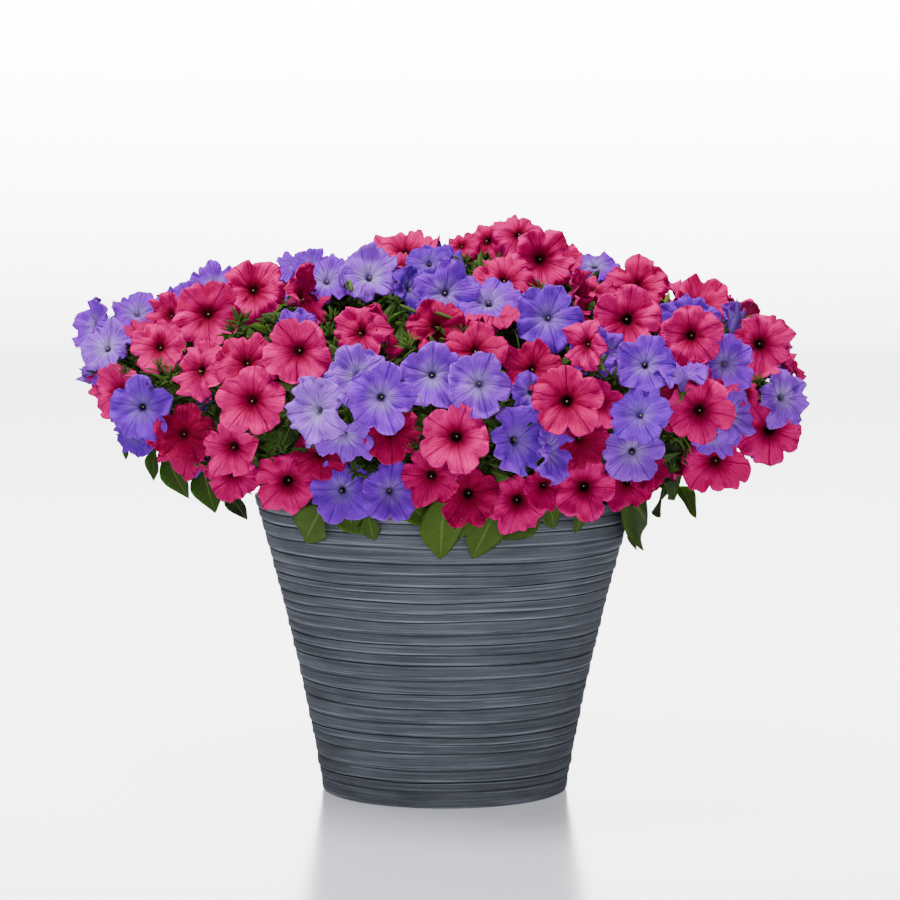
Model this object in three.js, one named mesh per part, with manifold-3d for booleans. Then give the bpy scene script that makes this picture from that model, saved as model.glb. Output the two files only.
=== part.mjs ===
// A round patio pot planted with trailing petunias, in full bloom.
//
// The pot is moulded in uneven hoops, stands on a flat foot and is filled with potting mix. The
// petunias grow from five stems in the mix into one wide mound of foliage that hangs over the
// rim, and the mound is covered with hot pink and violet blooms. Millimetres, +Z up, with the
// origin at the middle of the foot and the side that is looked at towards -Y.
import * as THREE from "three";
import { mergeVertices } from "three/addons/utils/BufferGeometryUtils.js";
import Module from "manifold-3d";

const wasm = await Module();
wasm.setup();

// ---- Driving dimensions -----------------------------------------------------------------

const POT_HEIGHT = 250;
const RIM_RADIUS = 160;
const FOOT_RADIUS = 102;
const POT_SIDES = 22;
const WALL = 5;
const FLOOR = 6;
// The hoops of the pot, from the foot up. They add up to the pot's height.
const HOOPS = [
  15, 7, 10.5, 14.5, 7.5, 6, 11.5, 13, 7, 5, 11.5, 13, 9, 8.5, 8.5, 11, 7, 9, 8, 5, 10, 9.5, 13,
  11.5, 9, 9.5,
];
const HOOP_SWELL = 1.5;
const DRAIN = { count: 4, radius: 6, ring: 62, sides: 8 };

const SOIL_TOP = 224;
const STEMS = { count: 5, radius: 6, ring: 52, sides: 6, depth: 40 };

const CLEARANCE = 0.3;
const TUBE_RADIUS = 2.4;
const SINK = 12; // how deep the stalk of a spray stands in the foliage
const MOST_IN_A_SPRAY = 4;
const SPRAYS = 56;
const LAYER = 12; // the step between two layers of blooms
const TURN_COST = 30; // how much less alike two blooms are for facing other ways
const FORK_SHARE = 0.3; // how far down the leading stalk the others join it
const HANGING_LEAVES = 38;
const STANDING_LEAVES = 90;
const LEAF_TRIES = 12;
const GOLDEN_ANGLE = 2.39996;

// The surface that the faces of the blooms follow, as radius and height from the lip of the
// mound, round its widest part and over to its top.
const CROWN = [
  [172, 256],
  [229, 275],
  [265, 297],
  [290, 325],
  [302, 352],
  [293, 380],
  [262, 402],
  [216, 416],
  [125, 446],
  [60, 460],
  [0, 459],
];
const BLOOM_HEIGHT = 46; // from the leafy mound to the face of a bloom
// The leafy mound under the blooms: its flat bottom inside the rim, its lip and its top.
const MOUND = [
  [0, 236],
  [128, 236],
  [148, 252],
  [166, 262],
  [198, 292],
  [232, 322],
  [252, 350],
  [240, 362],
  [210, 374],
  [116, 402],
  [50, 419],
  [0, 425],
];
const LIP = 3; // the point of the mound at which its outer side starts
const MOUND_SIDES = 18;
const BULGE = 8;

// ---- Where the blooms stand -------------------------------------------------------------

// The photograph's viewpoint: an eye in front of the pot, level across, and its aim.
const EYE = { back: 3200, height: 565, aimHeight: 287, aimAcross: 4.4, focalPixels: 3825 };
const FRAME_CENTRE = 450;

// Each bloom as it is seen from there: the pixels across and down of the middle of its face,
// its colour, the pixels of its radius, the degrees that it faces right and up of the eye,
// and the layer in which it stands, counted outwards.
const SEEN = [
  [89, 322, "violet", 27, -62, 20, 0],
  [104, 344, "pale", 29, -30, 35, 1],
  [137, 309, "violet", 28, -5, 42, -1],
  [158, 345, "pink", 29, -15, 20, 0],
  [166, 314, "pink", 26, -45, 15, -1],
  [207, 314, "pink", 35, -5, 5, 1],
  [215, 281, "violet", 27, -5, 40, -1],
  [254, 288, "pink", 34, 0, 18, 1],
  [195, 370, "pink", 32, -50, 5, 0],
  [246, 360, "pink", 32, -8, 25, -1],
  [297, 351, "pink", 35, -12, 0, 1],
  [251, 401, "pink", 35, -10, -5, 1],
  [116, 392, "pink", 31, -40, 5, -1],
  [141, 408, "violet", 33, -8, -5, 1],
  [132, 440, "violet", 21, -30, -35, -1],
  [185, 432, "pink", 32, 5, 15, -1],
  [231, 449, "pink", 30, -25, -20, 1],
  [233, 478, "pink", 27, -10, -35, -1],
  [326, 276, "violet", 31, -5, 38, 0],
  [369, 273, "pale", 32, 0, 32, 0],
  [309, 297, "pink", 34, 68, 15, -1],
  [357, 331, "pink", 30, -35, 15, 0],
  [388, 325, "pink", 30, 80, 25, -1],
  [357, 374, "pale", 33, -5, 15, 0],
  [381, 397, "violet", 35, 0, 0, 2],
  [312, 409, "pale", 35, -42, 5, 1],
  [344, 441, "violet", 31, 0, -48, 1],
  [392, 432, "pink", 31, 10, -5, -1],
  [288, 484, "pink", 34, 0, -22, 0],
  [340, 490, "violet", 32, -12, 0, 1],
  [391, 491, "violet", 31, 8, 0, 1],
  [405, 245, "pink", 33, 0, 58, 0],
  [428, 260, "violet", 25, -10, 35, -1],
  [445, 291, "violet", 34, 0, 12, 1],
  [460, 243, "pink", 20, -20, 40, -1],
  [484, 238, "pink", 28, -30, 25, 0],
  [519, 231, "pink", 28, 0, 35, -1],
  [543, 259, "pink", 34, 18, 5, 1],
  [504, 277, "pink", 34, 0, 35, 0],
  [595, 260, "violet", 28, 5, 55, -1],
  [489, 297, "violet", 34, 0, 42, 0],
  [495, 313, "pink", 30, 5, 82, 0],
  [548, 316, "violet", 34, 0, 12, 1],
  [583, 294, "pink", 28, 78, 10, -1],
  [474, 347, "pink", 33, -5, 28, 0],
  [432, 374, "violet", 33, 0, 5, 0],
  [479, 384, "violet", 34, 0, 0, 1],
  [531, 366, "pink", 30, -5, 25, -1],
  [582, 344, "pink", 27, -48, 0, 1],
  [567, 400, "pink", 37, 0, 5, 1],
  [602, 403, "pink", 26, 20, 10, -1],
  [627, 319, "pink", 36, 0, 5, 1],
  [637, 284, "pink", 34, 0, 22, 0],
  [691, 335, "pink", 32, 0, 5, 1],
  [688, 319, "violet", 31, 0, 25, -1],
  [702, 302, "pink", 30, 20, 38, -1],
  [733, 317, "violet", 18, 50, 20, -1],
  [764, 344, "pink", 34, 28, 0, 1],
  [727, 363, "violet", 30, 18, 5, 0],
  [645, 363, "violet", 31, 0, 15, 0],
  [681, 371, "violet", 29, -10, 80, 1],
  [692, 382, "pink", 27, 0, 30, -1],
  [700, 410, "pink", 34, 5, -3, 2],
  [673, 402, "pink", 26, -20, 10, -1],
  [725, 382, "pink", 16, 30, 60, 0],
  [733, 415, "pale", 29, 40, 0, 0],
  [714, 440, "pale", 26, 0, -40, 0],
  [786, 396, "pale", 30, 35, 8, 0],
  [771, 431, "pink", 35, 10, -8, 1],
  [751, 393, "pink", 22, 65, 10, -1],
  [715, 465, "pink", 34, 0, -25, 0],
  [640, 413, "violet", 32, 0, 15, 1],
  [632, 452, "pale", 31, 0, -5, 0],
  [627, 485, "pink", 28, 0, -22, -1],
  [455, 437, "pink", 36, -8, 0, 2],
  [468, 495, "pink", 33, 0, -10, 0],
  [518, 502, "pink", 33, 5, -15, 1],
  [584, 487, "pink", 32, 0, -3, 1],
  [521, 440, "violet", 36, 40, 0, 1],
  [556, 450, "violet", 35, 60, 0, 1],
  [534, 391, "violet", 25, 25, 10, 0],
  [583, 440, "pink", 28, 30, -10, -1],
  [430, 478, "pink", 31, -10, -20, 0],
  [545, 487, "pink", 24, 15, -15, -1],
];
// The blooms that aren't seen from there. They stand behind an upright plane, and those higher
// than topZ stand further back, because the eye looks over the crown.
const SPIRAL = { count: 122, from: 0.11, clear: 45, lift: 16, tilt: 0.5, radius: 31 };
const HIDDEN = { back: 20, topZ: 400, topBack: 50 };

// ---- Small helpers ----------------------------------------------------------------------

const radians = THREE.MathUtils.degToRad;
const vector = (x, y, z) => new THREE.Vector3(x, y, z);
const around = (radius, angle, z) =>
  vector(radius * Math.cos(angle), radius * Math.sin(angle), z);

// A seeded draw from 0 to 1, the same on every run.
let seed = 4583;
function draw() {
  seed = (Math.imul(seed, 1664525) + 1013904223) >>> 0;
  return seed / 4294967296;
}
const between = (low, high) => low + (high - low) * draw();

function solidOf(geometry) {
  for (const name of ["normal", "uv"]) geometry.deleteAttribute(name);
  const merged = mergeVertices(geometry, 1e-4);
  return new wasm.Manifold(
    new wasm.Mesh({
      numProp: 3,
      vertProperties: merged.attributes.position.array,
      triVerts: new Uint32Array(merged.index.array),
    }),
  );
}

function solidFrom(points, triangles) {
  const vertProperties = new Float32Array(points.flatMap((p) => [p.x, p.y, p.z]));
  const triVerts = new Uint32Array(triangles.flat());
  return new wasm.Manifold(new wasm.Mesh({ numProp: 3, vertProperties, triVerts }));
}

function meshOf(name, solid, material) {
  const made = solid.getMesh();
  const geometry = new THREE.BufferGeometry();
  geometry.setAttribute("position", new THREE.BufferAttribute(made.vertProperties, 3));
  geometry.setIndex(new THREE.BufferAttribute(made.triVerts, 1));
  geometry.computeVertexNormals();
  const mesh = new THREE.Mesh(geometry, material);
  mesh.name = name;
  return mesh;
}

// The largest closed shell of a solid: loose scraps are dropped and a sealed hollow is filled.
function largestShell(solid) {
  const { vertProperties, triVerts } = solid.getMesh();
  const parent = Array.from({ length: vertProperties.length / 3 }, (_, i) => i);
  const root = (i) => {
    while (parent[i] !== i) i = parent[i] = parent[parent[i]];
    return i;
  };
  for (let t = 0; t < triVerts.length; t += 3) {
    parent[root(triVerts[t + 1])] = root(triVerts[t]);
    parent[root(triVerts[t + 2])] = root(triVerts[t]);
  }
  const shells = new Map();
  for (let t = 0; t < triVerts.length; t += 3) {
    const key = root(triVerts[t]);
    if (!shells.has(key)) shells.set(key, []);
    shells.get(key).push(...triVerts.slice(t, t + 3));
  }
  const solids = [...shells.values()].map((corners) => {
    const renumbered = new Map();
    const points = [];
    const triangles = corners.map((corner) => {
      if (!renumbered.has(corner)) {
        renumbered.set(corner, renumbered.size);
        points.push(...vertProperties.slice(3 * corner, 3 * corner + 3));
      }
      return renumbered.get(corner);
    });
    return { points, triangles, volume: signedVolume(points, triangles) };
  });
  const kept = solids.reduce((a, b) => (b.volume > a.volume ? b : a));
  return new wasm.Manifold(
    new wasm.Mesh({
      numProp: 3,
      vertProperties: new Float32Array(kept.points),
      triVerts: new Uint32Array(kept.triangles),
    }),
  );
}

function signedVolume(points, triangles) {
  const corner = (i) => vector(...points.slice(3 * triangles[i], 3 * triangles[i] + 3));
  let volume = 0;
  for (let t = 0; t < triangles.length; t += 3) {
    volume += corner(t).dot(corner(t + 1).cross(corner(t + 2))) / 6;
  }
  return volume;
}

function boxesMeet(a, b) {
  const [p, q] = [a.boundingBox(), b.boundingBox()];
  return [0, 1, 2].every((i) => p.min[i] < q.max[i] && q.min[i] < p.max[i]);
}

// A solid turned about the pot's axis, from a closed outline of radius and height.
function turned(outline, sides) {
  const points = outline.map(([r, z]) => new THREE.Vector2(r, z));
  const lathe = new THREE.LatheGeometry(points, sides);
  return solidOf(lathe.rotateX(Math.PI / 2));
}

function rod(from, to, radius, sides) {
  const cylinder = new THREE.CylinderGeometry(radius, radius, from.distanceTo(to), sides);
  const along = to.clone().sub(from).normalize();
  cylinder.applyQuaternion(new THREE.Quaternion().setFromUnitVectors(vector(0, 1, 0), along));
  cylinder.translate(...from.clone().add(to).multiplyScalar(0.5).toArray());
  return solidOf(cylinder);
}

// ---- The pot and its potting mix --------------------------------------------------------

// The pot flares towards the rim.
function potRadius(z) {
  const t = z / POT_HEIGHT;
  return FOOT_RADIUS + (RIM_RADIUS - FOOT_RADIUS) * (0.73 * t + 0.27 * t * t);
}

// Each hoop starts in a groove, swells out above it and runs back to the next one.
function potOutside() {
  const outline = [
    [0, 0],
    [potRadius(0), 0],
  ];
  let z = 0;
  for (const hoop of HOOPS) {
    const swollen = z + 0.3 * hoop;
    outline.push([potRadius(swollen) + HOOP_SWELL / 2, swollen]);
    z += hoop;
    outline.push([potRadius(z) - HOOP_SWELL / 2, z]);
  }
  return outline;
}

const insideRadius = (z) => potRadius(z) - WALL;

function pot() {
  const outline = [
    ...potOutside(),
    [insideRadius(POT_HEIGHT), POT_HEIGHT],
    [insideRadius(POT_HEIGHT / 2), POT_HEIGHT / 2],
    [insideRadius(FLOOR), FLOOR],
    [0, FLOOR],
  ];
  let solid = turned(outline, POT_SIDES);
  for (let i = 0; i < DRAIN.count; i++) {
    const angle = (2 * Math.PI * (i + 0.5)) / DRAIN.count;
    const [low, high] = [-1, FLOOR + 1].map((z) => around(DRAIN.ring, angle, z));
    solid = solid.subtract(rod(low, high, DRAIN.radius, DRAIN.sides));
  }
  return solid;
}

function stem(i, grow) {
  const angle = (2 * Math.PI * i) / STEMS.count + 0.3;
  const foot = around(STEMS.ring, angle, SOIL_TOP - STEMS.depth - grow);
  const head = around(STEMS.ring, angle, MOUND[0][1] + 10);
  return rod(foot, head, STEMS.radius + grow, STEMS.sides);
}

function pottingMix() {
  const low = FLOOR + CLEARANCE;
  const inset = 2 * CLEARANCE;
  let solid = turned(
    [
      [0, low],
      [insideRadius(low) - inset, low],
      [insideRadius(POT_HEIGHT / 2) - inset, POT_HEIGHT / 2],
      [insideRadius(SOIL_TOP) - inset, SOIL_TOP],
      [0, SOIL_TOP + 4],
    ],
    POT_SIDES,
  );
  for (let i = 0; i < STEMS.count; i++) solid = solid.subtract(stem(i, CLEARANCE));
  return solid;
}

// ---- Placing the blooms -----------------------------------------------------------------

const crownCurve = new THREE.SplineCurve(CROWN.map(([r, z]) => new THREE.Vector2(r, z)));
const crownPoints = crownCurve.getPoints(200);

const moundPoints = new THREE.Path(
  MOUND.slice(LIP).map(([r, z]) => new THREE.Vector2(r, z)),
).getSpacedPoints(200);

// A point in space as its radius and height.
const radiusAndHeight = (point) => new THREE.Vector2(Math.hypot(point.x, point.y), point.z);

// Which point of an outline of radius and height is nearest to a point in space.
function nearestIndex(outline, point) {
  const here = radiusAndHeight(point);
  let best = 0;
  outline.forEach((p, i) => {
    if (p.distanceTo(here) < outline[best].distanceTo(here)) best = i;
  });
  return best;
}

// The way out of the crown at the part of it nearest to a point, and how far inside the crown
// the point lies.
function nearestOnCrown(point) {
  const best = nearestIndex(crownPoints, point);
  const before = crownPoints[Math.max(best - 1, 0)];
  const after = crownPoints[Math.min(best + 1, crownPoints.length - 1)];
  const along = after.clone().sub(before).normalize();
  const out = new THREE.Vector2(along.y, -along.x);
  return {
    outwards: around(out.x, Math.atan2(point.y, point.x), out.y),
    inside: -radiusAndHeight(point).sub(crownPoints[best]).dot(out),
  };
}

const eye = vector(EYE.aimAcross, -EYE.back, EYE.height);
const eyeForward = vector(0, EYE.back, EYE.aimHeight - EYE.height).normalize();
const eyeUp = vector(0, -eyeForward.z, eyeForward.y);

// The first point of the crown on the line of sight through a pixel, or the one nearest to it.
function sighted(across, down) {
  const sight = eyeForward
    .clone()
    .add(vector((across - FRAME_CENTRE) / EYE.focalPixels, 0, 0))
    .addScaledVector(eyeUp, (FRAME_CENTRE - down) / EYE.focalPixels);
  let best = null;
  for (let reach = EYE.back - 340; reach < EYE.back + 100; reach += 4) {
    const point = eye.clone().addScaledVector(sight, reach);
    const { inside } = nearestOnCrown(point);
    if (!best || inside > best.inside) best = { point, inside };
    if (inside >= 0) break;
  }
  return best.point;
}

function seenBloom([across, down, colour, pixels, right, up, layer]) {
  const face = sighted(across, down);
  const toEye = eye.clone().sub(face).normalize();
  const facing = toEye
    .clone()
    .applyAxisAngle(vector(-1, 0, 0), radians(up))
    .applyAxisAngle(vector(0, 0, 1), radians(right));
  const radius = (pixels * face.distanceTo(eye)) / EYE.focalPixels;
  return { face: face.addScaledVector(toEye, layer * LAYER), facing, colour, radius, layer };
}

// The share of the crown's surface that lies below each point of its outline.
const crownShares = [0];
crownPoints.slice(1).forEach((p, i) => {
  const q = crownPoints[i];
  crownShares.push(crownShares[i] + (p.distanceTo(q) * (p.x + q.x)) / 2);
});
const pointAtShare = (share) =>
  crownPoints[crownShares.findIndex((s) => s >= share * crownShares[crownShares.length - 1])];

// The rest of the crown is covered at even turns of a spiral, with the colours in patches.
function spiralBlooms(seen) {
  const blooms = [];
  for (let i = 0; i < SPIRAL.count; i++) {
    const share = SPIRAL.from + ((1 - SPIRAL.from) * (i + 0.5)) / SPIRAL.count;
    const point = pointAtShare(share);
    const onCrown = around(point.x, i * GOLDEN_ANGLE, point.y);
    const [lift, tilt, turn, size] = [draw(), draw(), draw(), draw()];
    if (onCrown.y < (onCrown.z > HIDDEN.topZ ? HIDDEN.topBack : HIDDEN.back)) continue;
    if (seen.some(({ face }) => face.distanceTo(onCrown) < SPIRAL.clear)) continue;
    const { outwards } = nearestOnCrown(onCrown);
    const face = onCrown.clone().addScaledVector(outwards, SPIRAL.lift * (lift - 0.5));
    const lean = around(SPIRAL.tilt * tilt, 2 * Math.PI * turn, 0.1);
    const facing = outwards.clone().add(lean).normalize();
    const patch = Math.sin(face.x / 47 + 1) * Math.sin(face.y / 41) + 0.4 * Math.sin(face.z / 23);
    const violet = i % 3 ? "violet" : "pale";
    const radius = SPIRAL.radius * (0.92 + 0.16 * size);
    blooms.push({ face, facing, colour: patch > 0.12 ? violet : "pink", radius, layer: 0 });
  }
  return blooms;
}

function allBlooms() {
  const seen = SEEN.map(seenBloom);
  return [...seen, ...spiralBlooms(seen)].map((bloom) => ({
    ...bloom,
    plant: bloom.colour === "pink" ? "pink" : "violet",
    roll: between(0, 72),
  }));
}

// Neighbours of one plant are joined into sprays, the nearest first.
function spraysOf(blooms) {
  const sprays = blooms.map((bloom) => [bloom]);
  const middle = (spray, part) =>
    spray.reduce((sum, b) => sum.add(b[part]), vector(0, 0, 0)).divideScalar(spray.length);
  const apart = (a, b) =>
    middle(a, "face").distanceTo(middle(b, "face")) +
    TURN_COST * middle(a, "facing").distanceTo(middle(b, "facing"));
  while (sprays.length > SPRAYS) {
    let nearest = { distance: Infinity };
    sprays.forEach((a, i) =>
      sprays.slice(0, i).forEach((b, j) => {
        if (a[0].plant !== b[0].plant || a.length + b.length > MOST_IN_A_SPRAY) return;
        const distance = apart(a, b);
        if (distance < nearest.distance) nearest = { distance, i, j };
      }),
    );
    sprays[nearest.j].push(...sprays[nearest.i]);
    sprays.splice(nearest.i, 1);
  }
  return sprays.map((spray) => leaderFirst(spray, middle(spray, "face")));
}

// The bloom nearest to the middle of its spray carries the others on its stalk.
function leaderFirst(spray, centre) {
  return [...spray].sort((a, b) => a.face.distanceTo(centre) - b.face.distanceTo(centre));
}

// The end of a leading bloom's stalk, sunk square into the leafy mound.
function rootOf({ face }) {
  const nearest = moundPoints[nearestIndex(moundPoints, face)];
  const onMound = around(nearest.x, Math.atan2(face.y, face.x), nearest.y);
  return onMound.clone().add(onMound.sub(face).setLength(SINK));
}

// ---- One bloom --------------------------------------------------------------------------

// Shares of the bloom's radius, and degrees.
const LOBES = 5;
const STALK_SIDES = 3;
const BLOOM = {
  notch: 0.84,
  shoulder: 19,
  ruffle: 0.09,
  throat: 0.17,
  throatDepth: 0.16,
  heart: 0.31,
  neck: 0.22,
  neckDepth: 0.36,
  bend: 0.95,
};

// The two directions across a bloom's face, turned by its roll.
function acrossFace({ facing, roll }) {
  const side = vector(0, 0, 1).cross(facing).normalize().applyAxisAngle(facing, radians(roll));
  return [side, facing.clone().cross(side)];
}

// The stalk behind a bloom: the middle of each of its rings, with their radii. It runs
// straight back from the neck, and bends where its end doesn't lie far enough behind.
function stalkPath(bloom, end) {
  const behind = (depth) => bloom.face.clone().addScaledVector(bloom.facing, -depth);
  const size = bloom.radius;
  const path = [
    { at: behind(BLOOM.neckDepth * size), radius: BLOOM.neck * size },
    { at: end, radius: TUBE_RADIUS },
  ];
  if (bloom.face.clone().sub(end).dot(bloom.facing) < BLOOM.bend * size) {
    path.splice(1, 0, { at: behind(BLOOM.bend * size), radius: 1.3 * TUBE_RADIUS });
  }
  return path;
}

// The rings of points round a stalk, each square to the way that the stalk runs there.
function stalkRings(bloom, end, grow) {
  const path = stalkPath(bloom, end);
  const ways = path.slice(1).map(({ at }, i) => at.clone().sub(path[i].at).normalize());
  let [side] = acrossFace(bloom);
  let before = bloom.facing.clone().negate();
  return path.map(({ at, radius }, i) => {
    const way = i === 0 ? before.clone() : ways[i - 1].clone();
    if (i > 0 && i < ways.length) way.add(ways[i]).normalize();
    side = side.applyQuaternion(new THREE.Quaternion().setFromUnitVectors(before, way));
    before = way;
    const centre = at.clone().addScaledVector(way, i === path.length - 1 ? grow : 0);
    const wider = radius + grow * (i === 0 ? 4 : 3);
    return Array.from({ length: STALK_SIDES }, (_, j) => {
      const spoke = side.clone().applyAxisAngle(way, (-2 * Math.PI * j) / STALK_SIDES);
      return centre.clone().addScaledVector(spoke, wider);
    });
  });
}

// Joins two rings of points by triangles that see outwards, where the rings run anticlockwise
// as seen from the high ring's side.
function bridge(low, high) {
  const triangles = [];
  let [i, j] = [0, 0];
  while (i < low.count || j < high.count) {
    const a = low.start + (i % low.count);
    const b = high.start + (j % high.count);
    if (j >= high.count || (i < low.count && (i + 0.5) / low.count < (j + 0.5) / high.count)) {
      i += 1;
      triangles.push([a, low.start + (i % low.count), b]);
    } else {
      j += 1;
      triangles.push([a, high.start + (j % high.count), b]);
    }
  }
  return triangles;
}

// Closes a ring by a fan from its first point, or from a point of its own.
function cap({ start, count }, centre) {
  const triangles = [];
  for (let i = 0; i < count; i++) {
    const pair = [start + i, start + ((i + 1) % count)];
    if (centre !== undefined) triangles.push([centre, ...pair]);
    else if (i > 0 && i < count - 1) triangles.push([start, ...pair]);
  }
  return triangles;
}

const flipped = (triangles) => triangles.map(([a, b, c]) => [a, c, b]);

// A funnel of five joined lobes, on a tube that runs back to the end of its stalk. Grown by a
// clearance on all sides, it is the room that its neighbours leave it.
function bloomSolid(bloom, end, grow = 0) {
  const [side, up] = acrossFace(bloom);
  const size = bloom.radius;
  const place = (r, degrees, height) =>
    bloom.face
      .clone()
      .addScaledVector(side, r * Math.cos(radians(degrees)))
      .addScaledVector(up, r * Math.sin(radians(degrees)))
      .addScaledVector(bloom.facing, height);
  const points = [];
  const ring = (made) => {
    points.push(...made);
    return { start: points.length - made.length, count: made.length };
  };
  const turns = (make) => Array.from({ length: LOBES }, (_, i) => make(i)).flat();
  const wave = (i) => BLOOM.ruffle * size * Math.sin(i * 2.4 + bloom.roll);
  const lobe = 360 / LOBES;
  const wide = size + 2 * grow;
  const rimAt = (lift) =>
    turns((i) => [
      place(wide, i * lobe - BLOOM.shoulder, wave(i) + lift),
      place(wide, i * lobe + BLOOM.shoulder, wave(i + 2) + lift),
      place(BLOOM.notch * wide, (i + 0.5) * lobe, -BLOOM.ruffle * size + lift),
    ]);
  const heart = ring([place(0, 0, -BLOOM.heart * size + grow)]);
  const throat = ring(
    turns((i) => place(BLOOM.throat * size, i * lobe, -BLOOM.throatDepth * size + grow)),
  );
  const rim = ring(rimAt(grow));
  const underRim = grow ? ring(rimAt(-grow)) : rim;
  const stalk = stalkRings(bloom, end, grow).map(ring);
  const triangles = [...cap(throat, heart.start), ...flipped(bridge(throat, rim))];
  if (grow) triangles.push(...bridge(underRim, rim));
  triangles.push(...bridge(stalk[0], underRim));
  for (let i = 1; i < stalk.length; i++) triangles.push(...bridge(stalk[i], stalk[i - 1]));
  triangles.push(...flipped(cap(stalk[stalk.length - 1])));
  return solidFrom(points, triangles);
}

// Where the stalk of each bloom in a spray ends: the leader's in the foliage, the others' in
// the leader's own stalk.
function stalkEnds(spray) {
  const [leader, ...others] = spray;
  const root = rootOf(leader);
  const [{ at: above }, { at: below }] = stalkPath(leader, root).slice(-2);
  const fork = above.clone().lerp(below, FORK_SHARE);
  return [root, ...others.map(() => fork)];
}

function spraySolid(spray, grow = 0) {
  const ends = stalkEnds(spray);
  return wasm.Manifold.union(spray.map((bloom, i) => bloomSolid(bloom, ends[i], grow)));
}

// ---- Foliage ----------------------------------------------------------------------------

// A pointed leaf folded along its rib, drooping from its base along a direction.
function leafSolid(base, along, upwards, length, width) {
  const side = along.clone().cross(upwards).normalize();
  const top = side.clone().cross(along);
  const at = (share, across, lift) =>
    base
      .clone()
      .addScaledVector(along, share * length)
      .addScaledVector(side, across * width)
      .addScaledVector(top, lift - 0.22 * length * share * share);
  const rib = 1.8;
  const outline = [
    at(0, 0, 0),
    at(0.34, 0.5, 0.12 * width),
    at(0.72, 0.4, 0.12 * width),
    at(1, 0, 0),
    at(0.72, -0.4, 0.12 * width),
    at(0.34, -0.5, 0.12 * width),
  ];
  const edge = { start: 0, count: outline.length };
  const points = [...outline, at(0.5, 0, 0), at(0.5, 0, -rib)];
  return solidFrom(points, [...cap(edge, 6), ...flipped(cap(edge, 7))]);
}

// The leafy mound, turned about the pot's axis and then made uneven where leaves bulge.
function mound() {
  const points = MOUND.map(([r, z]) => new THREE.Vector2(r, z));
  const lathe = new THREE.LatheGeometry(points, MOUND_SIDES).rotateX(Math.PI / 2);
  const places = lathe.attributes.position;
  const lip = MOUND[LIP][1];
  for (let i = 0; i < places.count; i++) {
    const [x, y, z] = [places.getX(i), places.getY(i), places.getZ(i)];
    if (z <= lip) continue;
    const bulge = BULGE * Math.sin(x / 17 + 2) * Math.sin(y / 15 + 1) * Math.cos(z / 11);
    places.setXYZ(i, x * (1 + bulge / 240), y * (1 + bulge / 240), z + bulge);
  }
  return solidOf(lathe);
}

// Draws a leaf anew until it stands clear of the blooms and of the other leaves.
function clearLeaf(drawLeaf, obstacles) {
  for (let tries = 0; tries < LEAF_TRIES; tries++) {
    const leaf = drawLeaf();
    const crosses = (other) => boxesMeet(leaf, other) && leaf.intersect(other).volume() > 0.01;
    if (!obstacles.some(crosses)) return leaf;
  }
  return null;
}

// Leaves hang over the rim all round, in two rows.
function hangingLeaf(i) {
  const angle = (2 * Math.PI * (i + between(-0.5, 0.5))) / HANGING_LEAVES;
  const outer = i % 2;
  const out = around(1, angle, 0);
  const base = around(outer ? 204 : 165, angle, outer ? 306 : 269);
  const along = out
    .clone()
    .multiplyScalar(outer ? 0.55 : 0.45)
    .add(vector(0, 0, -1))
    .add(around(between(-0.35, 0.35), angle + Math.PI / 2, 0))
    .normalize();
  return leafSolid(base, along, out, between(44, 60), between(22, 30));
}

// Leaves stand out of the mound between the blooms, at even turns of a spiral.
function standingLeaf(i) {
  const angle = i * GOLDEN_ANGLE + between(-0.15, 0.15);
  const share = 0.12 + (0.84 * (i + between(-1, 1))) / STANDING_LEAVES;
  const p = crownCurve.getPointAt(Math.min(Math.max(share, 0.1), 0.97));
  const onCrown = around(p.x, angle, p.y);
  const { outwards } = nearestOnCrown(onCrown);
  const base = onCrown.addScaledVector(outwards, -BLOOM_HEIGHT - 6);
  const lean = around(between(0.1, 0.7), between(0, 2 * Math.PI), between(-0.3, 0.3));
  const along = outwards.clone().add(lean).normalize();
  const upwards = vector(between(-1, 1), between(-1, 1), 1.5);
  return leafSolid(base, along, upwards, between(34, 56), between(14, 23));
}

// The mound with its stems and leaves, cut by plain sockets for the stalks of the blooms.
function foliage(rooms) {
  const leaves = [];
  const obstacles = [...rooms];
  const grow = (count, drawLeaf) => {
    for (let i = 0; i < count; i++) {
      const leaf = clearLeaf(() => drawLeaf(i), obstacles);
      if (!leaf) continue;
      leaves.push(leaf);
      obstacles.push(leaf);
    }
  };
  grow(HANGING_LEAVES, hangingLeaf);
  grow(STANDING_LEAVES, standingLeaf);
  const stems = Array.from({ length: STEMS.count }, (_, i) => stem(i, 0));
  let solid = wasm.Manifold.union([mound(), ...stems, ...leaves]);
  for (const room of rooms) solid = solid.subtract(room);
  return largestShell(solid);
}

// ---- Assembly ---------------------------------------------------------------------------

const MATERIALS = {
  pot: new THREE.MeshStandardMaterial({ color: 0x4d5661, roughness: 0.55, metalness: 0 }),
  mix: new THREE.MeshStandardMaterial({ color: 0x2e2118, roughness: 0.95, metalness: 0 }),
  leaf: new THREE.MeshStandardMaterial({ color: 0x3f6b2a, roughness: 0.6, metalness: 0 }),
  pink: new THREE.MeshStandardMaterial({ color: 0xe0195f, roughness: 0.55, metalness: 0 }),
  violet: new THREE.MeshStandardMaterial({ color: 0x6a45cf, roughness: 0.55, metalness: 0 }),
};

const planted = new THREE.Group();
planted.add(meshOf("pot", pot(), MATERIALS.pot));
planted.add(meshOf("potting_mix", pottingMix(), MATERIALS.mix));

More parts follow.
